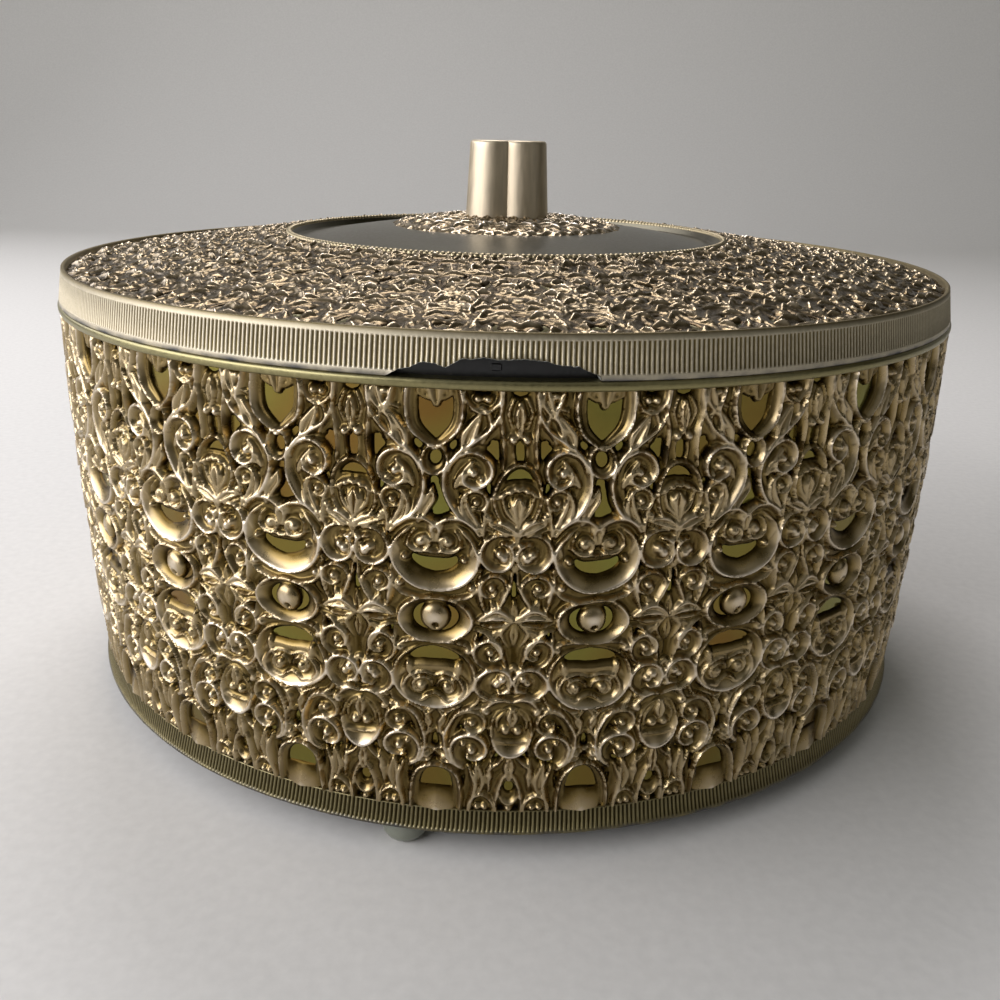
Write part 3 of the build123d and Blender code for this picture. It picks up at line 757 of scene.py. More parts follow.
    def foot_row(self, r: Relief) -> None:
        """Draws the arch window, the bells and the cups at the foot.

        Args:
            r: Relief to draw on.
        """
        b, strip, leaf = self.half_width, r.strip, Section.LEAF
        strip(
            [(5.2, 99.5), (5.1, 93.5), (4.3, 89.4), (2.4, 87.0), (0, 86.2)],
            (1.6, 1.6, 1.6, 1.5, 1.4), 2.4, rim=1,
        )
        r.plate((0, 95.6), (4.4, 3.1), 2.4)
        strip(
            [(b - 3.3, 99.5), (b - 3.6, 94.6), (b - 2.6, 90.2), (b - 0.6, 87.2)],
            (1.3, 1.9, 1.9, 1.0), 2.2, rim=1,
        )
        r.ring((b, 93.2), (2.5, 3.7), (b, 92.0), (1.2, 1.6), 1.9)
        strip([(b, 83.4), (b, 89.6)], (0.8, 2.2, 1.0), 2.0, leaf)
        strip([(b - 1.2, 84.0), (b - 2.8, 86.2), (b - 4.8, 87.4)], (0.8, 1.9, 0.8), 2.0, rim=1)
        r.bead((b - 4.5, 88.6), 1.1, 2.0)
        r.bead((b, 97.6), 1.1, 1.9)
        strip([(7.2, 86.6), (7.9, 91.0), (7.5, 95.2), (7.3, 99.5)], (1.0, 2.4, 2.1, 1.2), 2.1, rim=-1)
        strip([(12.2, 84.8), (11.2, 88.6), (11.7, 92.6)], (0.9, 2.8, 1.0), 2.0, rim=-1)
        strip([(9.4, 85.8), (9.9, 90.0), (9.5, 93.8)], (0.9, 2.6, 1.2), 1.8, leaf)
        strip(
            [(7.9, 99.5), (8.4, 96.2), (10.4, 94.4), (12.4, 96.2), (12.8, 99.5)],
            (1.1, 1.5, 1.6, 1.5, 1.1), 2.2, rim=-1,
        )
        r.bead((9.6, 97.4), 1.0, 1.9)
        r.bead((11.3, 97.4), 1.0, 1.9)

    def openings(self, r: Relief) -> None:
        """Opens the ground where the bright backing shows.

        Args:
            r: Relief to draw on.
        """
        b = self.half_width
        r.pierce([(0, -1.5), (0, 4.0), (0, 9.6)], (8.4, 8.6, 2.4))
        r.pierce_oval((0, 14.1), (1.5, 1.9))
        r.pierce([(0.3, 18.2), (0.5, 20.8), (0.9, 24.0)], (1.0, 2.2, 2.8))
        r.pierce([(-3.6, 36.4), (0, 37.4), (3.6, 36.4)], (2.0, 3.4, 2.0))
        r.pierce([(6.4, 30.4), (7.0, 33.6)], (1.2, 1.6))
        r.pierce_oval((0, 49.2), (5.3, 3.5))
        r.pierce([(-4.2, 58.6), (0, 57.7), (4.2, 58.6)], (2.0, 3.6, 2.0))
        r.pierce([(0, 78.2), (0, 80.8)], (1.4, 1.8))
        r.pierce([(0, 88.2), (0, 93.0)], (6.0, 8.4))
        r.pierce([(b, 10.6), (b, 15.4)], (2.2, 2.6))
        r.pierce([(b - 2.6, 18.2), (b, 17.2)], (2.0, 2.8))
        r.pierce([(b - 6.4, 16.2), (b - 5.8, 20.4), (b - 5.6, 24.2)], (1.1, 1.3, 1.0))
        r.pierce([(b - 7.0, 31.2), (b - 7.3, 34.4), (b - 7.0, 37.2)], (0.8, 1.0, 0.9))
        r.pierce([(9.4, 44.6), (9.7, 46.6)], (1.6, 1.4))
        r.pierce([(9.6, 51.6), (9.3, 53.4)], (1.5, 1.2))
        r.pierce([(b - 5.8, 7.4), (b - 5.2, 11.4)], (1.0, 1.2))
        r.pierce([(8.4, 71.0), (9.3, 70.0)], (0.9, 0.8))
        r.pierce([(b, 39.2), (b, 42.4)], (1.6, 1.4))
        r.pierce_oval((b, 92.0), (1.3, 1.7))
        r.pierce([(5.9, 20.6), (5.0, 23.6)], (0.9, 0.7))
        r.pierce_oval((6.4, 90.6), (0.7, 2.0))

    def draw_whole(self, r: Relief) -> None:
        """Draws the cup right of the shield window and the leaves left of it.

        Args:
            r: Relief to draw on.
        """
        strip, leaf = r.strip, Section.LEAF
        strip(
            [(6.6, -1), (7.0, 2.2), (9.5, 4.0), (12.0, 2.2), (12.4, -1)],
            (1.1, 1.4, 1.6, 1.4, 1.1), 2.2, rim=1,
        )
        r.bead((8.6, 1.9), 1.05, 2.1)
        r.bead((10.5, 1.9), 1.05, 2.1)
        strip([(-7.7, -1), (-7.8, 2.0), (-8.6, 5.2), (-7.2, 8.0)], (1.0, 2.1, 2.3, 1.0), 2.2, rim=1)
        strip([(-11.7, -1), (-11.4, 2.4), (-9.8, 5.6)], (1.0, 2.4, 1.0), 2.0, leaf)
        r.bead((-9.8, 1.0), 1.1, 2.0)
        r.dent((0.2, 50.7), 0.8, 0.5)
        strip([(-3.6, 27.4), (-2.4, 24.6), (-0.9, 22.2), (-0.4, 19.8)], (0.8, 2.0, 2.0, 0.6), 1.9, leaf)


@dataclass
class LidOrnament(Ornament):
    """The lid's ornament, drawn as (share of half a tile, mm in from the edge).

    Attributes:
        edge: Radius where it starts, in mm.
        inside: Radius where it ends, in mm.
        under: Share of its height that what is drawn keeps under the tips.
        tip: Length and width of a leaf tip, in mm.
        tip_gap: Distance between the tips round the lid and between their rows, in mm.
        tip_stray: Share of that distance that a tip may stray.
        tip_bow: How far a tip bows inward, in mm.
    """

    columns: int = 82
    depth: float = 1.7
    ground: float = 0.25
    swell: float = 0.3
    breadth: float = 1.2
    fine: float = 0.2
    flank: float = 0.6
    heave: float = 0.2
    heave_size: float = 1.4
    edge: float = 125.8
    inside: float = 66.5
    under: float = 0.62
    tip: Point = (3.6, 2.5)
    tip_gap: Point = (4.9, 5.0)
    tip_stray: float = 0.3
    tip_bow: float = 0.3

    def samples(self, columns: np.ndarray) -> Tuple[np.ndarray, np.ndarray]:
        """Places of the samples at those columns, on the flattened cone.

        Args:
            columns: Columns, counted from axis A.

        Returns:
            Their x and y.
        """
        rows = int(round((self.edge - self.inside) / self.fine)) + 1
        radii = np.linspace(self.edge, self.inside, rows)
        angle, radius = np.meshgrid(columns * math.pi / self.tiles / self.columns, radii)
        return radius * np.sin(angle), self.edge - radius * np.cos(angle)

    def place(self, point: Point) -> Point:
        """Place of a point of the drawing, on the flattened cone."""
        angle, radius = point[0] * math.pi / self.tiles, self.edge - point[1]
        return radius * math.sin(angle), self.edge - radius * math.cos(angle)

    def draw(self, relief: Relief) -> None:
        """Draws the half tile from the edge in to the bead ring.

        Args:
            relief: Relief to draw on.
        """
        self.outer_row(relief)
        self.middle_row(relief)
        self.inner_row(relief)
        self.tips(relief)

    def tips(self, r: Relief) -> None:
        """Lowers what is drawn and raises the leaf tips that stand over it and catch the light.

        Args:
            r: Relief to draw on.
        """
        draws = np.random.default_rng(self.seed + 9)
        r.height *= self.under
        for row in np.arange(self.tip_gap[1] / 2, self.edge - self.inside, self.tip_gap[1]):
            wide = (self.edge - row) * math.pi / self.tiles
            count = max(1, round(wide / self.tip_gap[0]))
            for number in range(count):
                turn, stray = draws.uniform(-0.9, 0.9), draws.uniform(-1, 1, 2)
                share = (number + 0.5 + self.tip_stray * stray[0]) / count
                deep = row + self.tip_stray * stray[1] * self.tip_gap[1]
                reach = self.tip[0] * draws.uniform(0.4, 0.62)
                side, down = reach * math.cos(turn) / wide, reach * math.sin(turn)
                crown = (share, deep + self.tip_bow)
                bend = [(share - side, deep - down), crown, (share + side, deep + down)]
                broad = self.tip[1] * draws.uniform(0.85, 1.15)
                r.strip(bend, (0.5 * broad, broad, 0.4 * broad), self.depth, rim=1)

    def outer_row(self, r: Relief) -> None:
        """Draws the fans and the dished circles along the edge.

        Args:
            r: Relief to draw on.
        """
        strip, leaf = r.strip, Section.LEAF
        strip([(0, -1), (0, 4.4)], (5.0, 1.4), 1.6, leaf)
        strip([(0.1, 0.2), (0.24, 3.2), (0.34, 5.4)], (1.0, 3.4, 1.0), 1.6, leaf)
        strip([(0.62, -0.8), (0.48, 3.4), (0.5, 7.6), (0.66, 11.6)], (1.3, 2.0, 2.4, 1.2), 1.7, rim=1)
        strip([(1, -0.8), (0.94, 2.4), (0.78, 4.8)], (1.2, 3.0, 1.0), 1.6, rim=-1)
        r.curl((0.79, 3.2), 2.6, 40, -0.9, 1.6, 1.6, 1.0)
        r.ring((0, 12.2), (6.9, 6.2), (0, 11.0), (5.3, 4.4), 1.7)
        r.curl((0.13, 10.2), 2.3, -60, 0.85, 1.4, 1.6, 1.1)
        strip([(0, 14.0), (0.14, 13.6), (0.26, 11.6)], (1.6, 1.6, 0.9), 1.5, rim=-1)
        r.ring((1, 11.8), (4.2, 5.6), (1, 11.2), (2.7, 3.9), 1.7)
        strip([(1, 8.2), (1, 13.2)], (0.9, 2.4, 1.0), 1.6, leaf)
        r.curl((0.52, 14.6), 3.4, 200, 0.95, 2.0, 1.7, 1.2)
        strip([(0.44, 6.4), (0.36, 9.2), (0.4, 12.0)], (0.8, 2.0, 0.9), 1.5, leaf)

    def middle_row(self, r: Relief) -> None:
        """Draws the kidneys, eyes and S-scrolls half way in.

        Args:
            r: Relief to draw on.
        """
        strip, leaf = r.strip, Section.LEAF
        strip([(0, 18.4), (0.16, 19.6), (0.3, 18.2)], (1.2, 2.6, 1.0), 1.6, leaf)
        r.curl((0.2, 24.0), 3.8, -80, -0.98, 2.1, 1.7, 1.4, 0.45)
        r.bead((0.05, 21.8), 1.0, 1.5)
        strip(
            [(0.72, 17.8), (0.54, 20.0), (0.5, 24.0), (0.6, 28.4), (0.5, 32.6)],
            (1.0, 2.2, 1.8, 2.2, 1.0), 1.7, rim=1,
        )
        r.ring((1, 24.6), (5.4, 3.8), (1, 24.4), (3.6, 2.5), 1.7)
        r.bead((1, 24.5), 2.1, 1.65)
        strip([(1, 18.4), (0.84, 19.6), (0.72, 22.4)], (1.0, 2.2, 0.9), 1.5, rim=-1)
        r.curl((0.76, 31.2), 3.1, 130, 0.92, 1.9, 1.7, 1.1)
        strip([(1, 28.9), (0.88, 30.2), (0.9, 33.2), (1, 35.2)], (0.9, 2.0, 2.0, 1.0), 1.6, rim=1)
        strip([(0, 27.4), (0, 32.4)], (1.0, 2.6, 1.0), 1.6, leaf)
        strip([(0.02, 29.6), (0.16, 28.4), (0.34, 29.4)], (0.9, 2.2, 0.9), 1.6, leaf)
        strip([(0.02, 31.0), (0.16, 32.2), (0.34, 31.4)], (0.9, 2.0, 0.9), 1.5, leaf)
        strip([(0.38, 20.6), (0.42, 24.6), (0.38, 28.0)], (0.8, 1.7, 0.8), 1.4)
        r.bead((0.62, 24.8), 1.0, 1.5)

    def inner_row(self, r: Relief) -> None:
        """Draws the rings, buds and bells next to the bead ring.

        Args:
            r: Relief to draw on.
        """
        strip, leaf = r.strip, Section.LEAF
        r.ring((0, 39.4), (5.4, 5.2), (0, 40.2), (3.9, 3.6), 1.7)
        r.curl((0.16, 40.4), 1.9, 200, 0.9, 1.2, 1.6, 0.95)
        strip([(0, 36.2), (0, 38.6)], (2.6, 1.0), 1.5, leaf)
        strip(
            [(0.5, 33.4), (0.64, 36.4), (0.6, 40.2), (0.44, 43.8), (0.4, 47.6)],
            (0.9, 1.9, 1.6, 2.0, 0.9), 1.7, rim=-1,
        )
        r.ring((1, 39.8), (3.2, 4.5), (1, 39.4), (2.0, 3.1), 1.7)
        strip([(1, 37.0), (1, 41.4)], (0.8, 1.9, 0.8), 1.5, leaf)
        r.curl((0.72, 46.0), 2.8, -40, -0.92, 1.7, 1.7, 1.0)
        strip([(0, 45.2), (0.16, 46.0), (0.3, 44.6)], (1.0, 2.2, 0.9), 1.6, leaf)
        r.curl((0.22, 49.8), 2.7, -90, -0.95, 1.6, 1.7, 1.05)
        strip([(1, 45.2), (0.9, 48.2), (1, 51.6)], (0.9, 1.9, 0.9), 1.6, rim=1)
        strip([(0, 46.2), (0, 51.8)], (0.8, 1.9, 0.8), 1.5, leaf)
        r.ring((0.62, 53.0), (2.3, 2.9), (0.62, 52.6), (1.2, 1.7), 1.6)
        strip([(0, 53.0), (0.16, 55.2), (0.12, 58.2), (0, 60.5)], (1.2, 1.9, 1.7, 1.0), 1.6, rim=-1)
        r.bead((0, 56.2), 1.2, 1.6)
        strip([(0.36, 53.4), (0.34, 56.4), (0.42, 60.5)], (0.8, 1.8, 1.0), 1.5, leaf)
        strip([(1, 53.4), (0.84, 55.6), (0.86, 60.5)], (0.9, 2.0, 1.2), 1.6, rim=1)
        strip([(0.7, 56.4), (0.6, 58.0), (0.66, 60.5)], (0.8, 1.6, 1.0), 1.5, leaf)


@dataclass
class DomeOrnament(LidOrnament):
    """The ornament of the small dome round the knob."""

    tiles: int = 22
    columns: int = 26
    depth: float = 1.5
    heave: float = 0.1
    under: float = 0.7
    tip: Point = (3.8, 3.0)
    tip_gap: Point = (5.0, 4.6)
    edge: float = 34.8
    inside: float = 8.0
    waver: float = 0.1

    def draw(self, relief: Relief) -> None:
        """Draws the half tile from the scalloped foot up to the knob.

        Args:
            relief: Relief to draw on.
        """
        r, strip, leaf = relief, relief.strip, Section.LEAF
        strip([(0, -1), (0, 3.6)], (4.2, 2.6), 1.5, leaf)
        r.bead((0, 2.0), 2.0, 1.5)
        r.bead((1, 1.7), 1.7, 1.5)
        r.ring((1, 6.2), (2.5, 3.0), (1, 5.8), (1.3, 1.8), 1.5)
        strip([(0.2, 4.4), (0.42, 6.6), (0.3, 9.6)], (0.9, 2.0, 0.9), 1.5, rim=1)
        strip([(0, 5.2), (0, 9.6)], (0.9, 2.6, 0.9), 1.5, leaf)
        r.bead((0.6, 3.4), 1.0, 1.3)
        r.curl((0.6, 12.0), 2.0, 160, 0.9, 1.5, 1.5, 0.9)
        strip([(0, 11.0), (0.2, 13.4), (0, 16.6)], (0.9, 2.2, 0.9), 1.5, rim=-1)
        strip([(1, 10.4), (1, 15.0)], (0.9, 2.0, 0.9), 1.4, leaf)
        r.bead((0.5, 16.2), 1.1, 1.4)
        strip([(0, 17.4), (0, 22.6)], (0.9, 1.9, 0.8), 1.4, leaf)
        strip([(1, 17.0), (1, 22.6)], (0.9, 1.7, 0.8), 1.4, leaf)
        r.bead((0.5, 20.2), 0.8, 1.3)
        strip([(-1, 24.2), (1, 24.2)], (1.5, 1.5), 1.2, Section.ROUND)
        self.tips(relief)


def rounded(corners: Sequence[Corner], steps: int = 5, closed: bool = True) -> np.ndarray:
    """An outline with rounded corners.

    Args:
        corners: (radius, height) or (radius, height, rounding) of each corner, in order.
        steps: Points on each rounding.
        closed: Whether the last corner meets the first.

    Returns:
        The outline's points, one (radius, height) row each.
    """
    points = []
    last = len(corners) - 1
    for number, corner in enumerate(corners):
        here = np.array(corner[:2], float)
        bend = corner[2] if len(corner) > 2 else 0
        if not bend or (not closed and number in (0, last)):
            points.append(here)
            continue
        before = np.array(corners[number - 1][:2], float) - here
        after = np.array(corners[(number + 1) % (last + 1)][:2], float) - here
        reach = min(bend, 0.48 * np.linalg.norm(before), 0.48 * np.linalg.norm(after))
        start = here + before / np.linalg.norm(before) * reach
        end = here + after / np.linalg.norm(after) * reach
        for t in np.linspace(0, 1, steps):
            points.append((1 - t) ** 2 * start + 2 * t * (1 - t) * here + t * t * end)
    return np.array(points)


def arc_height(points: Sequence[Point]) -> Callable[[np.ndarray], np.ndarray]:
    """The arc through three (place, value) points, as a function of the place.

    Args:
        points: The (place, value) points.

    Returns:
        The value at a place.
    """
    (a, p), (b, q), (c, r) = points
    rows = np.array([[2 * (b - a), 2 * (q - p)], [2 * (c - b), 2 * (r - q)]])
    sums = np.array([b * b - a * a + q * q - p * p, c * c - b * b + r * r - q * q])
    middle = np.linalg.solve(rows, sums)
    radius = math.hypot(a - middle[0], p - middle[1])
    sign = 1 if q > middle[1] else -1
    return lambda place: middle[1] + sign * np.sqrt(radius * radius - (place - middle[0]) ** 2)


def sampled(points: Sequence[Point], start: float, end: float, count: int) -> List[Point]:
    """Samples of the arc through three points.

    Args:
        points: Its (place, value) points.
        start: First place.
        end: Last place.
        count: Number of samples.

    Returns:
        The samples as (place, value).
    """
    arc = arc_height(points)
    return [(float(place), float(arc(place))) for place in np.linspace(start, end, count)]


def round_places(radius: np.ndarray, angle: np.ndarray, height: np.ndarray) -> np.ndarray:
    """Points at a radius, an angle from the front towards +X and a height."""
    radius, angle, height = np.broadcast_arrays(radius, angle, height)
    return np.stack([radius * np.sin(angle), -radius * np.cos(angle), height], -1)


@dataclass
class Shape:
    """A mesh in the making.

    Attributes:
        points: Its points in mm.
        faces: Point numbers of its faces, in arrays of faces that have as many corners.
        maps: For each array of faces, the place of every corner on the flat map, if it has one.
        marks: Values at the points by name.
        finish: For each array of faces, the number of its finish.
    """

    points: np.ndarray
    faces: List[np.ndarray]
    maps: Optional[List[np.ndarray]] = None
    marks: Dict[str, np.ndarray] = field(default_factory=dict)
    finish: Optional[List[np.ndarray]] = None

    def outward(self) -> "Shape":
        """The closed shape with its faces turned outward.

        Returns:
            The shape itself.
        """
        volume = 0.0
        for group in self.faces:
            corners = self.points[group]
            for k in range(1, group.shape[1] - 1):
                cross = np.cross(corners[:, k], corners[:, k + 1])
                volume += float((corners[:, 0] * cross).sum())
        if volume < 0:
            self.faces = [group[:, ::-1] for group in self.faces]
            if self.maps:
                self.maps = [group[:, ::-1] for group in self.maps]
        return self

    def joined(self, others: Sequence["Shape"]) -> "Shape":
        """One shape of this one and others, with no flat map.

        Args:
            others: The other shapes.

        Returns:
            The new shape.
        """
        points, faces, start = [self.points], list(self.faces), len(self.points)
        for other in others:
            points.append(other.points)
            faces += [group + start for group in other.faces]
            start += len(other.points)
        return Shape(np.concatenate(points), faces)

    def moved(self, x: float = 0.0, y: float = 0.0, z: float = 0.0, turn: float = 0.0) -> "Shape":
        """A copy turned about the upright axis by an angle in radians, then moved.

        Args:
            x: Distance along X.
            y: Distance along Y.
            z: Distance upward.
            turn: The angle.

        Returns:
            The copy.
        """
        c, s = math.cos(turn), math.sin(turn)
        points = self.points @ np.array([[c, s, 0], [-s, c, 0], [0, 0, 1]]) + (x, y, z)
        return Shape(points, self.faces, self.maps, self.marks, self.finish)


def netting(rows: int, columns: int, wrap_rows: bool, wrap_columns: bool) -> Tuple[np.ndarray, np.ndarray]:
    """Faces over a net of points.

    Args:
        rows: Rows of points.
        columns: Columns of points.
        wrap_rows: Whether the last row meets the first.
        wrap_columns: Whether the last column meets the first.

    Returns:
        Point numbers of the faces, and their corners on the flat map.
    """
    high, wide = rows - (not wrap_rows), columns - (not wrap_columns)
    i, j = (layer.ravel() for layer in np.indices((high, wide)))
    down, side = (i + 1) % rows, (j + 1) % columns
    faces = np.stack([i * columns + j, i * columns + side, down * columns + side, down * columns + j], 1)
    u, v = np.stack([j, j + 1, j + 1, j], 1) / wide, np.stack([i, i, i + 1, i + 1], 1) / high
    return faces, np.stack([u, v], 2)


def ring_net(points: np.ndarray, marks: Optional[Dict[str, np.ndarray]] = None) -> Shape:
    """A ring whose rows are a closed outline's points and whose columns go round the box.

    Args:
        points: Its points, in rows and columns.
        marks: Values at the points by name.

    Returns:
        The closed shape.
    """
    rows, columns = points.shape[:2]
    faces, corners = netting(rows, columns, True, True)
    named = {name: value.ravel() for name, value in (marks or {}).items()}
    return Shape(points.reshape(-1, 3), [faces], [corners], named).outward()


def capped(rings: np.ndarray, start: float, end: float) -> Shape:
    """A round piece closed by a point on the axis at both ends.

    Args:
        rings: Points of its rings, one row each.
        start: Level of the axis point next to the first ring.
        end: Level of the one next to the last.

    Returns:
        The closed shape.
    """
    rows, columns = rings.shape[:2]
    faces, _ = netting(rows, columns, False, True)
    here = np.arange(columns)
    after = (here + 1) % columns
    foot, count = (rows - 1) * columns, rows * columns
    caps = [
        np.stack([after, here, np.full(columns, count)], 1),
        np.stack([foot + here, foot + after, np.full(columns, count + 1)], 1),
    ]
    points = np.concatenate([rings.reshape(-1, 3), [(0, 0, start), (0, 0, end)]])
    return Shape(points, [faces, np.concatenate(caps)]).outward()


def turned(outline: np.ndarray, columns: int = 384) -> Shape:
    """A turned piece.

    Args:
        outline: Its (radius, height) points: closed, or from the axis to the axis.
        columns: Steps round it.

    Returns:
        The closed shape.
    """
    angle = np.arange(columns) * TAU / columns
    if outline[0, 0] > 1e-6:
        return ring_net(round_places(outline[:, :1], angle, outline[:, 1:]))
    body = outline[1:-1]
    return capped(round_places(body[:, :1], angle, body[:, 1:]), outline[0, 1], outline[-1, 1])


def slab(front: np.ndarray, back: np.ndarray, wrap: bool, marks: Dict[str, np.ndarray]) -> Shape:
    """A closed piece with a fine front and a plain back.

    Args:
        front: Points of the front, in rows and columns.
        back: Points of the back in a few rows and as many columns, the first and last over the front's.
        wrap: Whether it closes round the box.
        marks: Values at the front's points by name; the back gets 0.

    Returns:
        The closed shape. Its map gives the front all but a strip.
    """
    rows, columns = front.shape[:2]
    low = back.shape[0]
    face, corners = netting(rows, columns, False, wrap)
    # Of the map's height the front gets 0.985, over thin strips for the back and the edges.
    corners = corners * (1, 0.985) + (0, 0.015)
    start = rows * columns
    rear, rear_map = netting(low, columns, False, wrap)
    ends = np.arange(columns - (not wrap))
    after = (ends + 1) % columns
    foot = (rows - 1) * columns
    rear_foot = start + (low - 1) * columns
    strips = np.concatenate([
        np.stack([start + ends, start + after, after, ends], 1),
        np.stack([foot + ends, foot + after, rear_foot + after, rear_foot + ends], 1),
    ])
    strip_map = np.tile([[[0, 0.0], [1, 0.0], [1, 0.004], [0, 0.004]]], (len(strips), 1, 1))
    strip_map[:, :, 0] = (strip_map[:, :, 0] + np.concatenate([ends, ends])[:, None]) / columns
    quads = np.concatenate([face, (rear + start)[:, ::-1], strips])
    maps = np.concatenate([corners, rear_map[:, ::-1] * (1, 0.004) + (0, 0.005), strip_map])
    faces, places = [quads], [maps]
    if not wrap:
        for column, step in ((0, 1), (columns - 1, -1)):
            edge = np.arange(rows) * columns + column
            rear_edge = start + np.arange(low) * columns + column
            loop = np.concatenate([edge, rear_edge[::-1]])[::step]
            flat = np.stack([np.linspace(0, 1, len(loop)), np.linspace(0.010, 0.013, len(loop))], 1)
            faces.append(loop[None])
            places.append(flat[None])
    unmarked = np.zeros(low * columns)
    named = {name: np.concatenate([value.ravel(), unmarked]) for name, value in marks.items()}
    points = np.concatenate([front.reshape(-1, 3), back.reshape(-1, 3)])
    return Shape(points, faces, places, named).outward()


def block(x: Point, y: Point, z: Point, bevel: float = 0.35) -> Shape:
    """A block with bevelled edges, from its three (low, high) spans.

    Args:
        x: Span along X.
        y: Span along Y.
        z: Span along Z.
        bevel: Width of the bevels.

    Returns:
        The closed shape.
    """
    rings = []
    for level, inset in ((z[0], bevel), (z[0] + bevel, 0), (z[1] - bevel, 0), (z[1], bevel)):
        xs, ys = (x[0] + inset, x[1] - inset), (y[0] + inset, y[1] - inset)
        ring = []
        for cx, cy, dx, dy in ((0, 0, 1, 1), (1, 0, -1, 1), (1, 1, -1, -1), (0, 1, 1, -1)):
            one = (xs[cx], ys[cy] + dy * bevel, level)
            two = (xs[cx] + dx * bevel, ys[cy], level)
            ring += [one, two] if cx == cy else [two, one]
        rings.append(ring)
    points = np.array(rings, float)
    faces, _ = netting(4, 8, False, True)
    ends = np.array([np.arange(8)[::-1], 24 + np.arange(8)])
    return Shape(points.reshape(-1, 3), [faces, ends]).outward()


def write_piece(
    name: str,
    shape: Shape,
    body: str,
    finishes: Sequence[bpy.types.Material],
    replaced: Sequence[str],
    sharp: float = 40.0,
) -> bpy.types.Object:
    """Writes a shape as a piece of the scene.

    Args:
        name: Name of the piece.
        shape: Its mesh in mm.
        body: Body that it rides on.
        finishes: Its materials.
        replaced: CAD nodes that it stands for.
        sharp: Angle in degrees over which an edge stays sharp.

    Returns:
        The new object.
    """
    mesh = bpy.data.meshes.new(name)
    counts = np.concatenate([np.full(len(g), g.shape[1]) for g in shape.faces])
    loops = np.concatenate([g.ravel() for g in shape.faces])
    mesh.vertices.add(len(shape.points))
    mesh.vertices.foreach_set("co", (shape.points * METRE).astype(np.float32).ravel())
    mesh.loops.add(len(loops))
    mesh.loops.foreach_set("vertex_index", loops.astype(np.int32))
    mesh.polygons.add(len(counts))
    starts = np.concatenate([[0], np.cumsum(counts)[:-1]])
    mesh.polygons.foreach_set("loop_start", starts.astype(np.int32))
    if shape.finish:
        mesh.polygons.foreach_set("material_index", np.concatenate(shape.finish).astype(np.int32))
    mesh.update(calc_edges=True)
    if shape.maps:
        layer = mesh.uv_layers.new(name="OFBake")
        places = np.concatenate([m.reshape(-1, 2) for m in shape.maps])
        layer.data.foreach_set("uv", places.astype(np.float32).ravel())
    for mark, values in shape.marks.items():
        mesh.attributes.new(mark, "FLOAT", "POINT").data.foreach_set("value", values.astype(np.float32))
    mesh.shade_smooth()
    mesh.set_sharp_from_angle(angle=math.radians(sharp))
    for material in finishes:
        mesh.materials.append(material)
    piece = bpy.data.objects.new(name, mesh)
    bpy.context.scene.collection.objects.link(piece)
    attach(piece, body)
    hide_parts(*replaced)
    LOG.info("%s: %d faces on %s", name, len(counts), body)
    return piece


def colour(code: str) -> Colour:
    """An sRGB hex colour such as "#c8a96a", turned linear.

    Args:
        code: The colour as #rrggbb.

    Returns:
        Its red, green and blue, and 1.
    """
    parts = [int(code[k : k + 2], 16) / 255 for k in (1, 3, 5)]
    linear = [p / 12.92 if p <= 0.04045 else ((p + 0.055) / 1.055) ** 2.4 for p in parts]
    return linear[0], linear[1], linear[2], 1.0


def add_node(
    tree: bpy.types.NodeTree,
    kind: str,
    inputs: Optional[Mapping[Any, Any]] = None,
    stops: Sequence[Tuple[float, str]] = (),
    **settings: Any,
) -> bpy.types.Node:
    """Adds a node.

    Args:
        tree: Tree that it goes in.
        kind: Its Blender type.
        inputs: Sockets to link or values to set, by input.
        stops: Places and hex colours of a colour ramp.
        **settings: Its other settings.

    Returns:
        The new node.
    """
    node = tree.nodes.new(kind)
    for name, value in settings.items():
        setattr(node, name, value)
    for key, value in (inputs or {}).items():
        if isinstance(value, Socket):
            tree.links.new(value, node.inputs[key])
        else:
            node.inputs[key].default_value = value
    for number, (place, code) in enumerate(stops):
        elements = node.color_ramp.elements
        stop = elements[number] if number < 2 else elements.new(place)
        stop.position = place
        stop.color = colour(code)
    return node


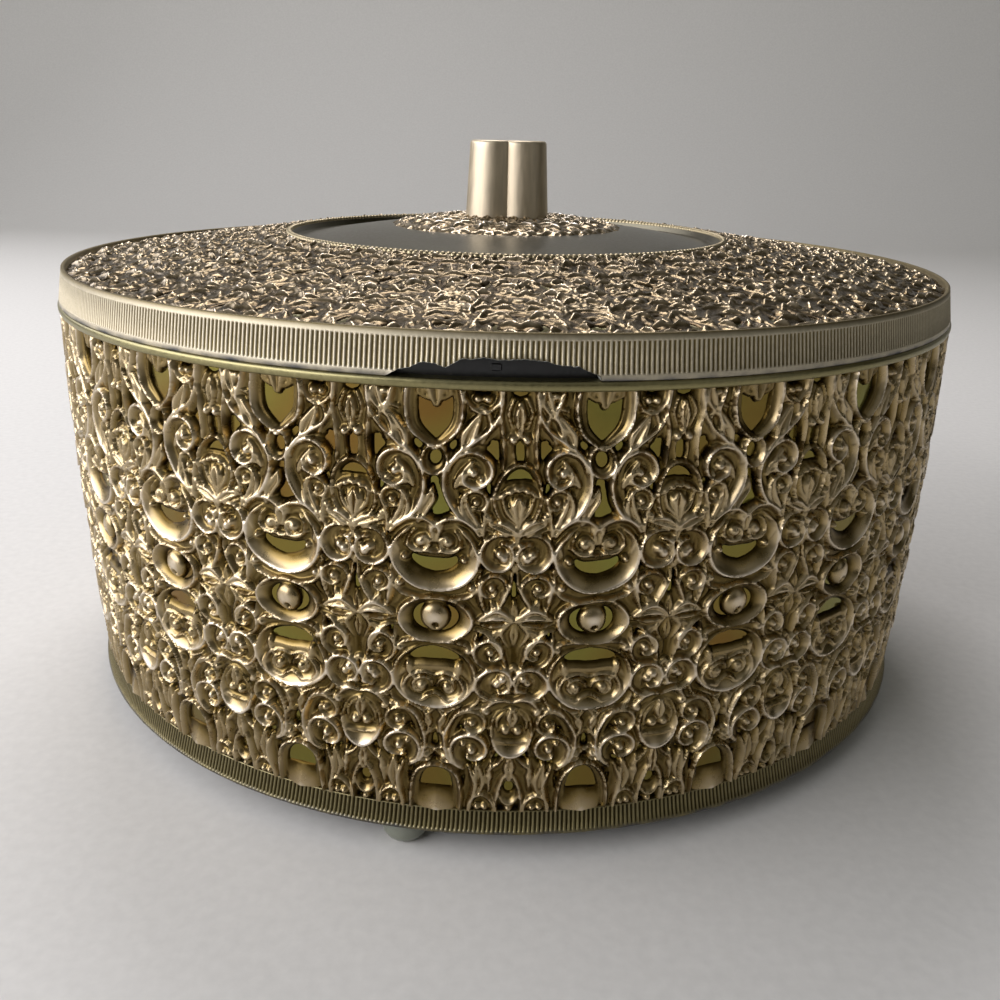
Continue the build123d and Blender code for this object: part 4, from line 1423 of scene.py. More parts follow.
@dataclass(frozen=True)
class Finish:
    """A material's surface, as it was made.

    Attributes:
        name: Name of the Blender material.
    """

    name: str

    def material(self) -> bpy.types.Material:
        """The Blender material of this finish.

        Returns:
            The material.
        """
        made = bpy.data.materials.new(self.name)
        made.use_nodes = True
        tree = made.node_tree
        tree.nodes.clear()
        place = add_node(tree, "ShaderNodeTexCoord").outputs["Object"]
        shader = self.surface(tree, place)
        add_node(tree, "ShaderNodeOutputMaterial", {"Surface": shader})
        return made

    def surface(self, tree: bpy.types.NodeTree, place: Socket) -> Socket:
        """Builds the shader and gives its output, from the place on the piece."""
        raise NotImplementedError

    def noise(self, tree: bpy.types.NodeTree, place: Socket, size: float, detail: float = 3.0) -> Socket:
        """Noise from 0 to 1 with features of a size in mm."""
        inputs = {"Vector": place, "Scale": 1 / (size * METRE), "Detail": detail}
        return add_node(tree, "ShaderNodeTexNoise", inputs).outputs["Fac"]

    def spread(self, tree: bpy.types.NodeTree, value: Socket, low: float, high: float) -> Socket:
        """Noise, which mostly lies from 0.3 to 0.7, spread between two numbers."""
        inputs = {"Value": value, "From Min": 0.3, "From Max": 0.7, "To Min": low, "To Max": high}
        return add_node(tree, "ShaderNodeMapRange", inputs).outputs["Result"]

    def grain(
        self, tree: bpy.types.NodeTree, height: Socket, depth: float, under: Optional[Socket] = None
    ) -> Socket:
        """A bump of a depth in mm, over another if one is given.

        Args:
            tree: Tree of the material.
            height: Heights from 0 to 1.
            depth: Depth in mm.
            under: The bump under it.

        Returns:
            The bent normal.
        """
        inputs = {"Height": height, "Distance": depth * METRE, "Strength": 1.0}
        if under is not None:
            inputs["Normal"] = under
        return add_node(tree, "ShaderNodeBump", inputs).outputs["Normal"]

    def mixed(
        self, tree: bpy.types.NodeTree, share: Socket, first: Any, second: Any, **settings: Any
    ) -> Socket:
        """Two colours, each a hex code or a socket, mixed by a share of the second.

        Args:
            tree: Tree of the material.
            share: Share of the second colour.
            first: The first colour.
            second: The second colour.
            **settings: Other settings of the node.

        Returns:
            The mixed colour.
        """
        one, two = (colour(tone) if isinstance(tone, str) else tone for tone in (first, second))
        node = add_node(tree, "ShaderNodeMix", {0: share, 6: one, 7: two}, data_type="RGBA", **settings)
        return node.outputs[2]

    def coat(self, tree: bpy.types.NodeTree, tone: Socket, roughness: Any, **inputs: Any) -> Socket:
        """The shader of a colour and a roughness, with other inputs by name."""
        inputs = {"Base Color": tone, "Roughness": roughness, **inputs}
        return add_node(tree, "ShaderNodeBsdfPrincipled", inputs).outputs["BSDF"]


@dataclass(frozen=True)
class GiltRelief(Finish):
    """Polystyrene relief: moulded, metallised in a vacuum and lacquered gold, with age in its hollows.

    The thin film follows every curve. Its rims are painted pale, a painted highlight, and its hollows brown,
    partly dust and old lacquer and partly painted shade.

    Attributes:
        hollow: Colour at the bottom of the relief: dust and painted shade.
        floor: Colour of its ground, darkened with painted shade.
        slope: Colour of its lower slopes.
        shoulder: Colour under its rims.
        crest: Colour of its rims, a painted highlight.
        tint: Colour that stained patches are multiplied by.
        roughness: Lowest and highest roughness.
        stain: Size of the stains, in mm.
        patch: Size of the tinted patches, in mm.
        wave: Size of the moulding's waves, in mm.
        grit: Size of the grit under the film, in mm. The real grit is too fine to show, so it is
            drawn coarser.
    """

    hollow: str = "#33260d"
    floor: str = "#483a19"
    slope: str = "#847249"
    shoulder: str = "#b6a584"
    crest: str = "#f0e5d4"
    tint: str = "#e2d7c2"
    roughness: Point = (0.23, 0.37)
    stain: float = 3.2
    patch: float = 14.0
    wave: float = 2.4
    grit: float = 0.5

    def surface(self, tree: bpy.types.NodeTree, place: Socket) -> Socket:
        """Pale gold on the rims that deepens to brown in the hollows.

        Args:
            tree: Tree of the material.
            place: Place on the piece.

        Returns:
            The shader.
        """
        depth = add_node(tree, "ShaderNodeAttribute", attribute_name="crest").outputs["Fac"]
        stain = self.noise(tree, place, self.stain)
        wander = self.spread(tree, stain, -0.05, 0.05)
        level = add_node(tree, "ShaderNodeMath", {0: depth, 1: wander}, operation="ADD").outputs[0]
        # The ramp over the height paints the rims pale as a highlight, and the ground and hollows dark,
        # partly dust and partly painted shade.
        ends = ((0.04, self.hollow), (0.97, self.crest))
        stops = ends + ((0.18, self.floor), (0.36, self.slope), (0.74, self.shoulder))
        gold = add_node(tree, "ShaderNodeValToRGB", {"Fac": level}, stops).outputs["Color"]
        patch = self.spread(tree, self.noise(tree, place, self.patch), 0.0, 0.45)
        tone = self.mixed(tree, patch, gold, self.tint, blend_type="MULTIPLY")
        waves = self.grain(tree, self.noise(tree, place, self.wave), 0.012)
        bump = self.grain(tree, self.noise(tree, place, self.grit, 2.0), 0.005, waves)
        return self.coat(tree, tone, self.spread(tree, stain, *self.roughness), Metallic=1.0, Normal=bump)


@dataclass(frozen=True)
class GiltSatin(Finish):
    """Plain polystyrene bands: moulded, metallised in a vacuum and lacquered gold.

    The mould was polished, so the film shows an even satin, duller where hands have rubbed it.

    Attributes:
        base: Colour of the film.
        worn: Colour where it is rubbed.
        roughness: Lowest and highest roughness.
        stretch: Scale of the fine grain along each axis, for a drawn grain.
        wear: Greatest share of the worn colour.
        dust: Depth of the fine grain, in mm.
        rub: Size of the rubbed patches, in mm.
        grit: Size of the fine grain, in mm. The real one is too fine to show, so it is drawn coarser.
    """

    base: str = "#b3a57f"
    worn: str = "#938d7a"
    roughness: Point = (0.3, 0.42)
    stretch: Tuple[float, float, float] = (1.0, 1.0, 1.0)
    wear: float = 0.35
    dust: float = 0.02
    rub: float = 9.0
    grit: float = 0.9

    def surface(self, tree: bpy.types.NodeTree, place: Socket) -> Socket:
        """Gold with duller patches where hands have rubbed it.

        Args:
            tree: Tree of the material.
            place: Place on the piece.

        Returns:
            The shader.
        """
        mapped = add_node(tree, "ShaderNodeMapping", {"Vector": place, "Scale": self.stretch}).outputs[0]
        fine = self.noise(tree, mapped, self.grit, 4.0)
        patch = self.spread(tree, self.noise(tree, place, self.rub, 4.0), 0.0, self.wear)
        tone = self.grooved(tree, place, self.mixed(tree, patch, self.base, self.worn))
        speck = self.spread(tree, fine, 0.86, 1.06)
        lit = add_node(tree, "ShaderNodeVectorMath", {0: tone, "Scale": speck}, operation="SCALE").outputs[0]
        bump = self.grain(tree, fine, self.dust)
        return self.coat(tree, lit, self.spread(tree, fine, *self.roughness), Metallic=1.0, Normal=bump)

    def grooved(self, tree: bpy.types.NodeTree, place: Socket, tone: Socket) -> Socket:
        """The tone as it is; a plain band has no grooves."""
        return tone


@dataclass(frozen=True)
class GiltRibbed(GiltSatin):
    """Ribbed polystyrene bands with the same moulded and metallised surface.

    The troughs between the fine ribs, and the margin over them, are painted darker as shade, while the
    crests keep the film's colour.

    Attributes:
        trough: Colour in the troughs and over the margin, a painted shade.
        rubbed: Colour where the lower edge is rubbed through.
        chafe: Size of the rubbed places, in mm.
    """

    trough: str = "#574a2a"
    rubbed: str = "#4c505b"
    chafe: float = 6.0

    def grooved(self, tree: bpy.types.NodeTree, place: Socket, tone: Socket) -> Socket:
        """The tone, darkened in the troughs and rubbed through along the edge.

        Args:
            tree: Tree of the material.
            place: Place on the piece.
            tone: Colour of the film.

        Returns:
            The new colour.
        """
        crest = add_node(tree, "ShaderNodeAttribute", attribute_name="crest").outputs["Fac"]
        # The crest mark paints shade: the troughs and the margin over the ribs take the trough colour.
        film = self.mixed(tree, crest, self.trough, tone)
        edge = add_node(tree, "ShaderNodeAttribute", attribute_name="edge").outputs["Fac"]
        patchy = self.spread(tree, self.noise(tree, place, self.chafe, 5.0), 0.0, 1.0)
        share = add_node(tree, "ShaderNodeMath", {0: edge, 1: patchy}, operation="MULTIPLY").outputs[0]
        return self.mixed(tree, share, film, self.rubbed)


@dataclass(frozen=True)
class GiltMirror(Finish):
    """Metallised plastic film behind the openings: thin, bright and gilt.

    It was only wrapped round, so its soft ripples bend what it mirrors, and age turned it green and amber.

    Attributes:
        base: Colour of the film.
        amber: Colour where it has aged.
        ripple: Size of the ripples, in mm.
        haze: Size of the dull specks, in mm.
        aged: Size of the aged patches, in mm.
    """

    base: str = "#7c7b3c"
    amber: str = "#7b562b"
    ripple: float = 11.0
    haze: float = 2.2
    aged: float = 30.0

    def surface(self, tree: bpy.types.NodeTree, place: Socket) -> Socket:
        """Bright gilt with soft ripples and dull specks.

        Args:
            tree: Tree of the material.
            place: Place on the piece.

        Returns:
            The shader.
        """
        patch = self.spread(tree, self.noise(tree, place, self.aged, 2.0), 0.0, 0.8)
        tone = self.mixed(tree, patch, self.base, self.amber)
        rough = self.spread(tree, self.noise(tree, place, self.haze, 4.0), 0.08, 0.2)
        bump = self.grain(tree, self.noise(tree, place, self.ripple, 2.0), 0.3)
        return self.coat(tree, tone, rough, Metallic=1.0, Normal=bump)


@dataclass(frozen=True)
class Styrene(Finish):
    """Polystyrene, injection moulded: an even colour with faint flow marks and a soft gloss.

    Attributes:
        base: Colour of the plastic.
        flow: Colour of the flow marks.
        roughness: Lowest and highest roughness.
        grain_depth: Depth of the scuffs, in mm.
        mark: Size of the flow marks, in mm.
        scuff: Size of the scuffs, in mm. Real scuffs are finer, too fine to show.
    """

    base: str = "#06070a"
    flow: str = "#0a0b0e"
    roughness: Point = (0.28, 0.4)
    grain_depth: float = 0.02
    mark: float = 18.0
    scuff: float = 0.8

    def surface(self, tree: bpy.types.NodeTree, place: Socket) -> Socket:
        """Plain plastic with flow marks and a fine scuff.

        Args:
            tree: Tree of the material.
            place: Place on the piece.

        Returns:
            The shader.
        """
        flow = self.spread(tree, self.noise(tree, place, self.mark), 0.0, 1.0)
        scuff = self.noise(tree, place, self.scuff, 4.0)
        tone = self.mixed(tree, flow, self.base, self.flow)
        bump = self.grain(tree, scuff, self.grain_depth)
        return self.coat(tree, tone, self.spread(tree, scuff, *self.roughness), Normal=bump, IOR=1.59)


@dataclass(frozen=True)
class ZincSteel(Finish):
    """Steel, turned and zinc plated: grey-white metal with fine tool marks.

    Attributes:
        base: Colour of the plating.
        dull: Colour where it has dulled.
        mottle: Size of the dull places, in mm.
        tool_mark: Size of the tool marks, in mm.
    """

    base: str = "#b9bab6"
    dull: str = "#8d8f8c"
    mottle: float = 1.4
    tool_mark: float = 0.3

    def surface(self, tree: bpy.types.NodeTree, place: Socket) -> Socket:
        """Plated steel with a mottled dullness.

        Args:
            tree: Tree of the material.
            place: Place on the piece.

        Returns:
            The shader.
        """
        mottle = self.noise(tree, place, self.mottle, 4.0)
        tone = self.mixed(tree, self.spread(tree, mottle, 0.0, 1.0), self.base, self.dull)
        bump = self.grain(tree, self.noise(tree, place, self.tool_mark, 2.0), 0.01)
        return self.coat(tree, tone, self.spread(tree, mottle, 0.25, 0.45), Metallic=1.0, Normal=bump)


@dataclass(frozen=True)
class Paper(Finish):
    """Studio paper, rolled and uncoated: matt and even, with a faint tooth.

    Attributes:
        base: Colour of the paper.
        shade: Colour in its tooth.
        tooth: Size of the tooth, in mm, drawn coarser than the real one, which wouldn't show.
    """

    base: str = "#dbd9d3"
    shade: str = "#d4d2cc"
    tooth: float = 3.0

    def surface(self, tree: bpy.types.NodeTree, place: Socket) -> Socket:
        """Pale grey paper.

        Args:
            tree: Tree of the material.
            place: Place on the piece.

        Returns:
            The shader.
        """
        tooth = self.noise(tree, place, self.tooth, 5.0)
        tone = self.mixed(tree, self.spread(tree, tooth, 0.0, 1.0), self.base, self.shade)
        return self.coat(tree, tone, 0.85)


class Finishes:
    """Every finish of the box, made once."""

    def __init__(self) -> None:
        """Makes the materials."""
        # The side's relief, moulded and metallised: rims painted pale as a highlight, over hollows browned
        # by dust and painted shade.
        self.relief = GiltRelief("metallised_polystyrene_relief").material()
        # The lid's relief, of the same make: a copy whose slopes are painted greyer and whose rims are
        # painted paler, as a painted sheen of the light from above.
        self.lid_relief_painted_light = GiltRelief(
            "metallised_polystyrene_lid_relief",
            floor="#54462e",
            slope="#75674d",
            shoulder="#b3a48b",
            crest="#fbf6ee",
            tint="#e6dfd2",
            roughness=(0.22, 0.32),
        ).material()
        # The rim ring, moulded smooth and metallised: an even, slightly green satin.
        self.band = GiltSatin("metallised_polystyrene_band", base="#918961", worn="#807a5e").material()
        # The lid's ribbed band, metallised and rubbed by hands: pale ribs, with troughs painted dark as
        # shade.
        self.ribs = GiltRibbed(
            "metallised_polystyrene_ribs",
            base="#cac0a8",
            worn="#beb6a1",
            trough="#6b5e3c",
            roughness=(0.5, 0.6),
        ).material()
        # The foot's ribbed band, of the same make: coloured duller and browner as painted shade, since it
        # sits in the shade under the side.
        self.foot_ribs_painted_shade = GiltRibbed(
            "metallised_polystyrene_foot_ribs", base="#857b58", worn="#7a735d", trough="#38311a"
        ).material()
        # The well's dish, moulded in a polished tool and metallised: a fine, dark satin.
        self.dish = GiltSatin(
            "metallised_polystyrene_dish", base="#625e50", worn="#575348", roughness=(0.3, 0.38), dust=0.003
        ).material()
        # The knob, drawn upward out of its mould and metallised: a pale satin with upright grain.
        self.knob = GiltSatin(
            "metallised_polystyrene_knob",
            base="#cbbda3",
            worn="#bfb197",
            roughness=(0.42, 0.5),
            stretch=(1.0, 1.0, 0.12),
            dust=0.006,
        ).material()
        # The bead ring, moulded and metallised: each round crown holds a highlight.
        self.beads = GiltSatin("metallised_polystyrene_beads", base="#a39677", worn="#8f8369").material()
        # The film behind the openings, metallised and wrapped round: bright, rippled and aged.
        self.mirror = GiltMirror("metallised_film").material()
        # The tub and the lid's carrier, injection moulded: near black, with a soft gloss.
        self.black = Styrene("moulded_black_polystyrene").material()
        # The tray and its pegs, injection moulded: warm and even, with a soft shine.
        self.ivory = Styrene(
            "moulded_ivory_polystyrene", base="#dccfae", flow="#e4d9bd", roughness=(0.22, 0.34)
        ).material()
        # The break in the lid's edge, torn and never finished: pale, matt and coarse.
        self.bare = Styrene(
            "broken_polystyrene", base="#8d8f8a", flow="#b5b7b1", roughness=(0.5, 0.7), grain_depth=0.1
        ).material()
        # The screws and the washer, turned and zinc plated: grey, and finely mottled.
        self.steel = ZincSteel("zinc_plated_steel").material()
        # The feet, injection moulded: an even grey-green with a soft gloss.
        self.foot = Styrene("moulded_grey_green_foot", base="#6f7263", flow="#83857a").material()
        # The studio's paper, rolled and uncoated: pale grey and matt.
        self.paper = Paper("studio_paper").material()


@dataclass
class RibbedBand:
    """A band of fine upright ribs between plain margins.

    Attributes:
        name: Name of the piece.
        outline: (radius, height, rounding) corners of its closed section, from the foot of the
            outside up, over the top and down the inside.
        ribs: Ribs round the band.
        span: Lowest and highest level of the ribs.
        depth: Depth of the troughs.
        steps: Samples to a rib.
        run_out: Height over which the troughs run out at both ends.
        skin: How far in from its widest place the ribbed outside reaches.
        bottom: Share of half a rib's width at which its trough is deepest.
        bank: Share of that width over which the trough gets deep.
        margin: Height over the ribs in which the band is painted darker, as shade.
        rubbed: Height of the rubbed lower edge.
    """

    name: str
    outline: Sequence[Corner]
    ribs: int
    span: Point
    depth: float = 0.3
    steps: int = 6
    run_out: float = 0.3
    skin: float = 2.4
    bottom: float = 0.85
    bank: float = 0.6
    margin: float = 0.9
    rubbed: float = 1.0

    def section(self) -> np.ndarray:
        """The section's points, with extra levels where the ribs start and end.

        Returns:
            The points, one (radius, height) row each.
        """
        points = rounded(self.outline, 2)
        low, high = self.span
        levels = [low, low + self.run_out, (low + high) / 2, high - self.run_out, high]
        foot = int(np.argmax(points[:, 1] > low + 0.01))
        start, end = points[foot - 1], points[foot]
        added = [start + (z - start[1]) / (end[1] - start[1]) * (end - start) for z in levels]
        return np.concatenate([points[:foot], np.array(added), points[foot:]])

    def surface(self) -> Tuple[np.ndarray, Dict[str, np.ndarray]]:
        """The ribbed ring before any break.

        Returns:
            Its points, and marks for how high on a rib and how near the lower edge each lies.
        """
        section = self.section()
        columns = self.ribs * self.steps
        angle = np.arange(columns) * TAU / columns
        phase = (np.arange(columns) % self.steps) / self.steps
        from_crest = 2 * np.minimum(phase, 1 - phase)
        trough = 1 - smoothstep((self.bottom - from_crest) / self.bank)
        radius, height = section[:, :1], section[:, 1:]
        low, high = self.span
        ease = smoothstep((height - low) / self.run_out) * smoothstep((high - height) / self.run_out)
        outside = (radius > section[:, 0].max() - self.skin) & (ease > 0)
        sunk = np.where(outside, ease, 0) * trough
        # The crest mark paints shade into the troughs and over the margin above the ribs.
        crest = 1 - np.minimum(1.3 * sunk, 1) - 0.9 * smoothstep((height - high) / self.margin)
        edge = smoothstep((section[:, 1].min() + self.rubbed - height) / 0.5) * np.ones(columns)
        return round_places(radius - self.depth * sunk, angle, height), {"crest": crest, "edge": edge}

    def shape(self) -> Shape:
        """The closed ring."""
        return ring_net(*self.surface())


@dataclass
class Assembly:
    """A sub-assembly of the box.

    Attributes:
        finishes: The box's finishes.
        body: Body that its pieces ride on.
        axis_angle: Angle of the ornament's axis A from the front, in degrees.
    """

    finishes: Finishes
    body: str = "box"
    axis_angle: float = -5.9

    def put(
        self, name: str, shape: Shape, slot: str, finish: bpy.types.Material, node: str, sharp: float = 40.0
    ) -> None:
        """Writes a shape as a piece in one finish that stands for one CAD node.

        Args:
            name: Name of the piece.
            shape: Its mesh in mm.
            slot: Not used.
            finish: Its material.
            node: CAD node that it stands for.
            sharp: Angle in degrees over which an edge stays sharp.
        """
        write_piece(name, shape, self.body, [finish], [node], sharp)

    def put_panels(
        self,
        names: Sequence[str],
        front: np.ndarray,
        back: np.ndarray,
        crest: np.ndarray,
        finish: bpy.types.Material,
        node: str,
    ) -> None:
        """Writes a relief as panels that close round the box.

        Args:
            names: Names of the panels, on their way round.
            front: Points of the front, with the first column again at the end.
            back: Points of the back in as many columns.
            crest: Share of the full height at the front's points.
            finish: Their material.
            node: CAD node that they stand for.
        """
        wide = (front.shape[1] - 1) // len(names)
        for number, name in enumerate(names):
            here = slice(number * wide, (number + 1) * wide + 1)
            shape = slab(front[:, here], back[:, here], False, {"crest": crest[:, here]})
            self.put(name, shape, "gilt_relief", finish, node, RELIEF_SHARP)

    def closed(self, height: np.ndarray, tiles: int) -> Tuple[np.ndarray, np.ndarray]:
        """Closes a relief round the box.

        Args:
            height: Its heights, once round the box.
            tiles: Number of its tiles.

        Returns:
            The heights with the first column again at the end, and the columns' angles in one row.
        """
        columns = height.shape[1]
        start = math.radians(self.axis_angle) - math.pi / tiles
        angle = start + np.arange(columns + 1) * TAU / columns
        return np.concatenate([height, height[:, :1]], 1), angle[None]


@dataclass
class Body(Assembly):
    """The box under the lid: ornamented side, backing, bands, tub, plate and feet.

    Sections are given by their (radius, height, rounding) corners.

    Attributes:
        z_foot: Level where the ornament starts.
        z_top: Level where it ends.
        r_foot: Radius of its crest at the foot.
        r_middle: Radius of its crest half way up.
        r_top: Radius of its crest at the top.
        side_wall: Thickness of the ornament's ground.
        panels: Panels of the side.
        back_rows: Rows of points on their backs.
        thin: Samples of the ornament for each point that is kept.
        backing_inset: Depth of the backing under the crest.
        backing_wall: Thickness of the backing.
        backing_levels: Rows of points on each side of it.
        base_section: Section of the foot band.
        base_ribs: Its ribs.
        base_span: Lowest and highest level of the ribs.
        base_depth: Depth of their troughs.
        rim_section: Section of the plain ring on the side.
        tub_section: Section of the tub, from the axis to the axis.
        rib_x: Span of the tub's front rib from the middle outward.
        rib_y: Its span across.
        rib_z: Its span upward.
        ribs: Ribs of the tub, which carry the tray.
        lug: Spans of the lug on the collar's front, along X, Y and Z.
        feet: Number of feet.
    """

    z_foot: float = 12.1
    z_top: float = 110.6
    r_foot: float = 127.6
    r_middle: float = 129.4
    r_top: float = 129.0
    side_wall: float = 0.6
    panels: int = 12
    back_rows: int = 9
    thin: int = 2
    backing_inset: float = 2.55
    backing_wall: float = 0.9
    backing_levels: int = 24
    base_section: Sequence[Corner] = ((128.0, 6.5, 0.3), (126.3, 12.1, 0.12), (124.3, 12.1), (124.3, 6.5))
    base_ribs: int = 768
    base_span: Point = (7.2, 11.9)
    base_depth: float = 0.42
    rim_section: Sequence[Corner] = (
        (124.15, 110.6), (128.9, 110.6, 0.95), (128.9, 112.7, 0.95), (124.15, 112.7),
    )
    tub_section: Sequence[Corner] = (
        (0, 9.9), (122.0, 9.9), (122.0, 8.9), (124.0, 8.9, 0.3), (124.0, 112.7), (125.3, 112.7),
        (125.3, 116.6, 0.35), (123.3, 116.6, 0.35), (123.3, 114.7, 0.8), (122.0, 113.7, 0.8),
        (122.0, 11.9, 1.2), (0, 11.9),
    )
    rib_x: Point = (119.0, 122.6)
    rib_y: Point = (-1.5, 1.5)
    rib_z: Point = (11.0, 79.6)
    ribs: int = 6
    lug: Sequence[Point] = ((-2.4, -0.2), (-125.55, -124.0), (113.9, 115.4))
    feet: int = 4

    def crest(self, height: np.ndarray) -> np.ndarray:
        """Radius of the bellied side at a height.

        Args:
            height: The height.

        Returns:
            The radius.
        """
        middle = (self.z_foot + self.z_top) / 2
        points = [(self.z_foot, self.r_foot), (middle, self.r_middle), (self.z_top, self.r_top)]
        return arc_height(points)(height)

    def build_side(self) -> None:
        """Builds the ornamented side as panels that close round the box."""
        ornament = SideOrnament()
        height, angle = self.closed(ornament.heights()[:: self.thin, :: self.thin], ornament.tiles)
        level = np.linspace(self.z_top, self.z_foot, len(height))[:, None]
        front = round_places(self.crest(level) - self.backing_inset + height, angle, level)
        picked = np.linspace(0, len(height) - 1, self.back_rows).astype(int)
        back_radius = self.crest(level[picked]) - self.backing_inset - self.side_wall
        back = round_places(back_radius, angle, level[picked])
        names = [f"side_filigree_{number:02d}" for number in range(1, self.panels + 1)]
        crest = height / ornament.depth
        self.put_panels(names, front, back, crest, self.finishes.relief, "side_filigree")

    def build_backing(self) -> None:
        """Builds the bright sleeve behind the openings."""
        levels = np.linspace(self.z_foot, self.z_top, self.backing_levels)
        outer = np.stack([self.crest(levels) - self.backing_inset, levels], 1)
        inner = outer[::-1] - (self.backing_wall, 0)
        shape = turned(np.concatenate([outer, inner]), FINE_STEPS)
        self.put("backing_sleeve", shape, "gilt_mirror", self.finishes.mirror, "mirror_sleeve")

    def build_bands(self) -> None:
        """Builds the ribbed band at the foot and the plain ring on top of the side."""
        sizes = (self.base_section, self.base_ribs, self.base_span, self.base_depth)
        base = RibbedBand("base_band_ribbed", *sizes)
        self.put(base.name, base.shape(), "gilt_satin", self.finishes.foot_ribs_painted_shade, "base_band", 60)
        shape = turned(rounded(self.rim_section, 9), FINE_STEPS)
        self.put("rim_band_turned", shape, "gilt_satin", self.finishes.band, "body_rim_band")

    def build_tub(self) -> None:
        """Builds the black tub with its collar, its ribs and the lug on its front."""
        outline = rounded(self.tub_section, closed=False)
        rib = block(self.rib_x, self.rib_y, self.rib_z, 0.4)
        ribs = [rib.moved(turn=number * TAU / self.ribs) for number in range(self.ribs)]
        shape = turned(outline, FINE_STEPS).joined(ribs + [block(*self.lug, 0.2)])
        self.put("tub_moulding", shape, "black_styrene", self.finishes.black, "inner_tub", 30)

    def dress_carried(self) -> None:
        """Dresses the CAD nodes that are kept as they are."""
        dress("base_plate", self.finishes.black)
        dress("foot_screws", self.finishes.steel)
        for number in range(1, self.feet + 1):
            dress(f"foot_{number}", self.finishes.foot)

    def build(self) -> None:
        """Builds every piece of the body."""
        self.build_side()
        self.build_backing()
        self.build_bands()
        self.build_tub()
        self.dress_carried()


def dress(node: str, material: bpy.types.Material) -> None:
    """Gives a kept CAD node its material.

    Args:
        node: Name of the node.
        material: The material.
    """
    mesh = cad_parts[node].data
    mesh.materials.clear()
    mesh.materials.append(material)
    LOG.info("%s: kept from the CAD model", node)


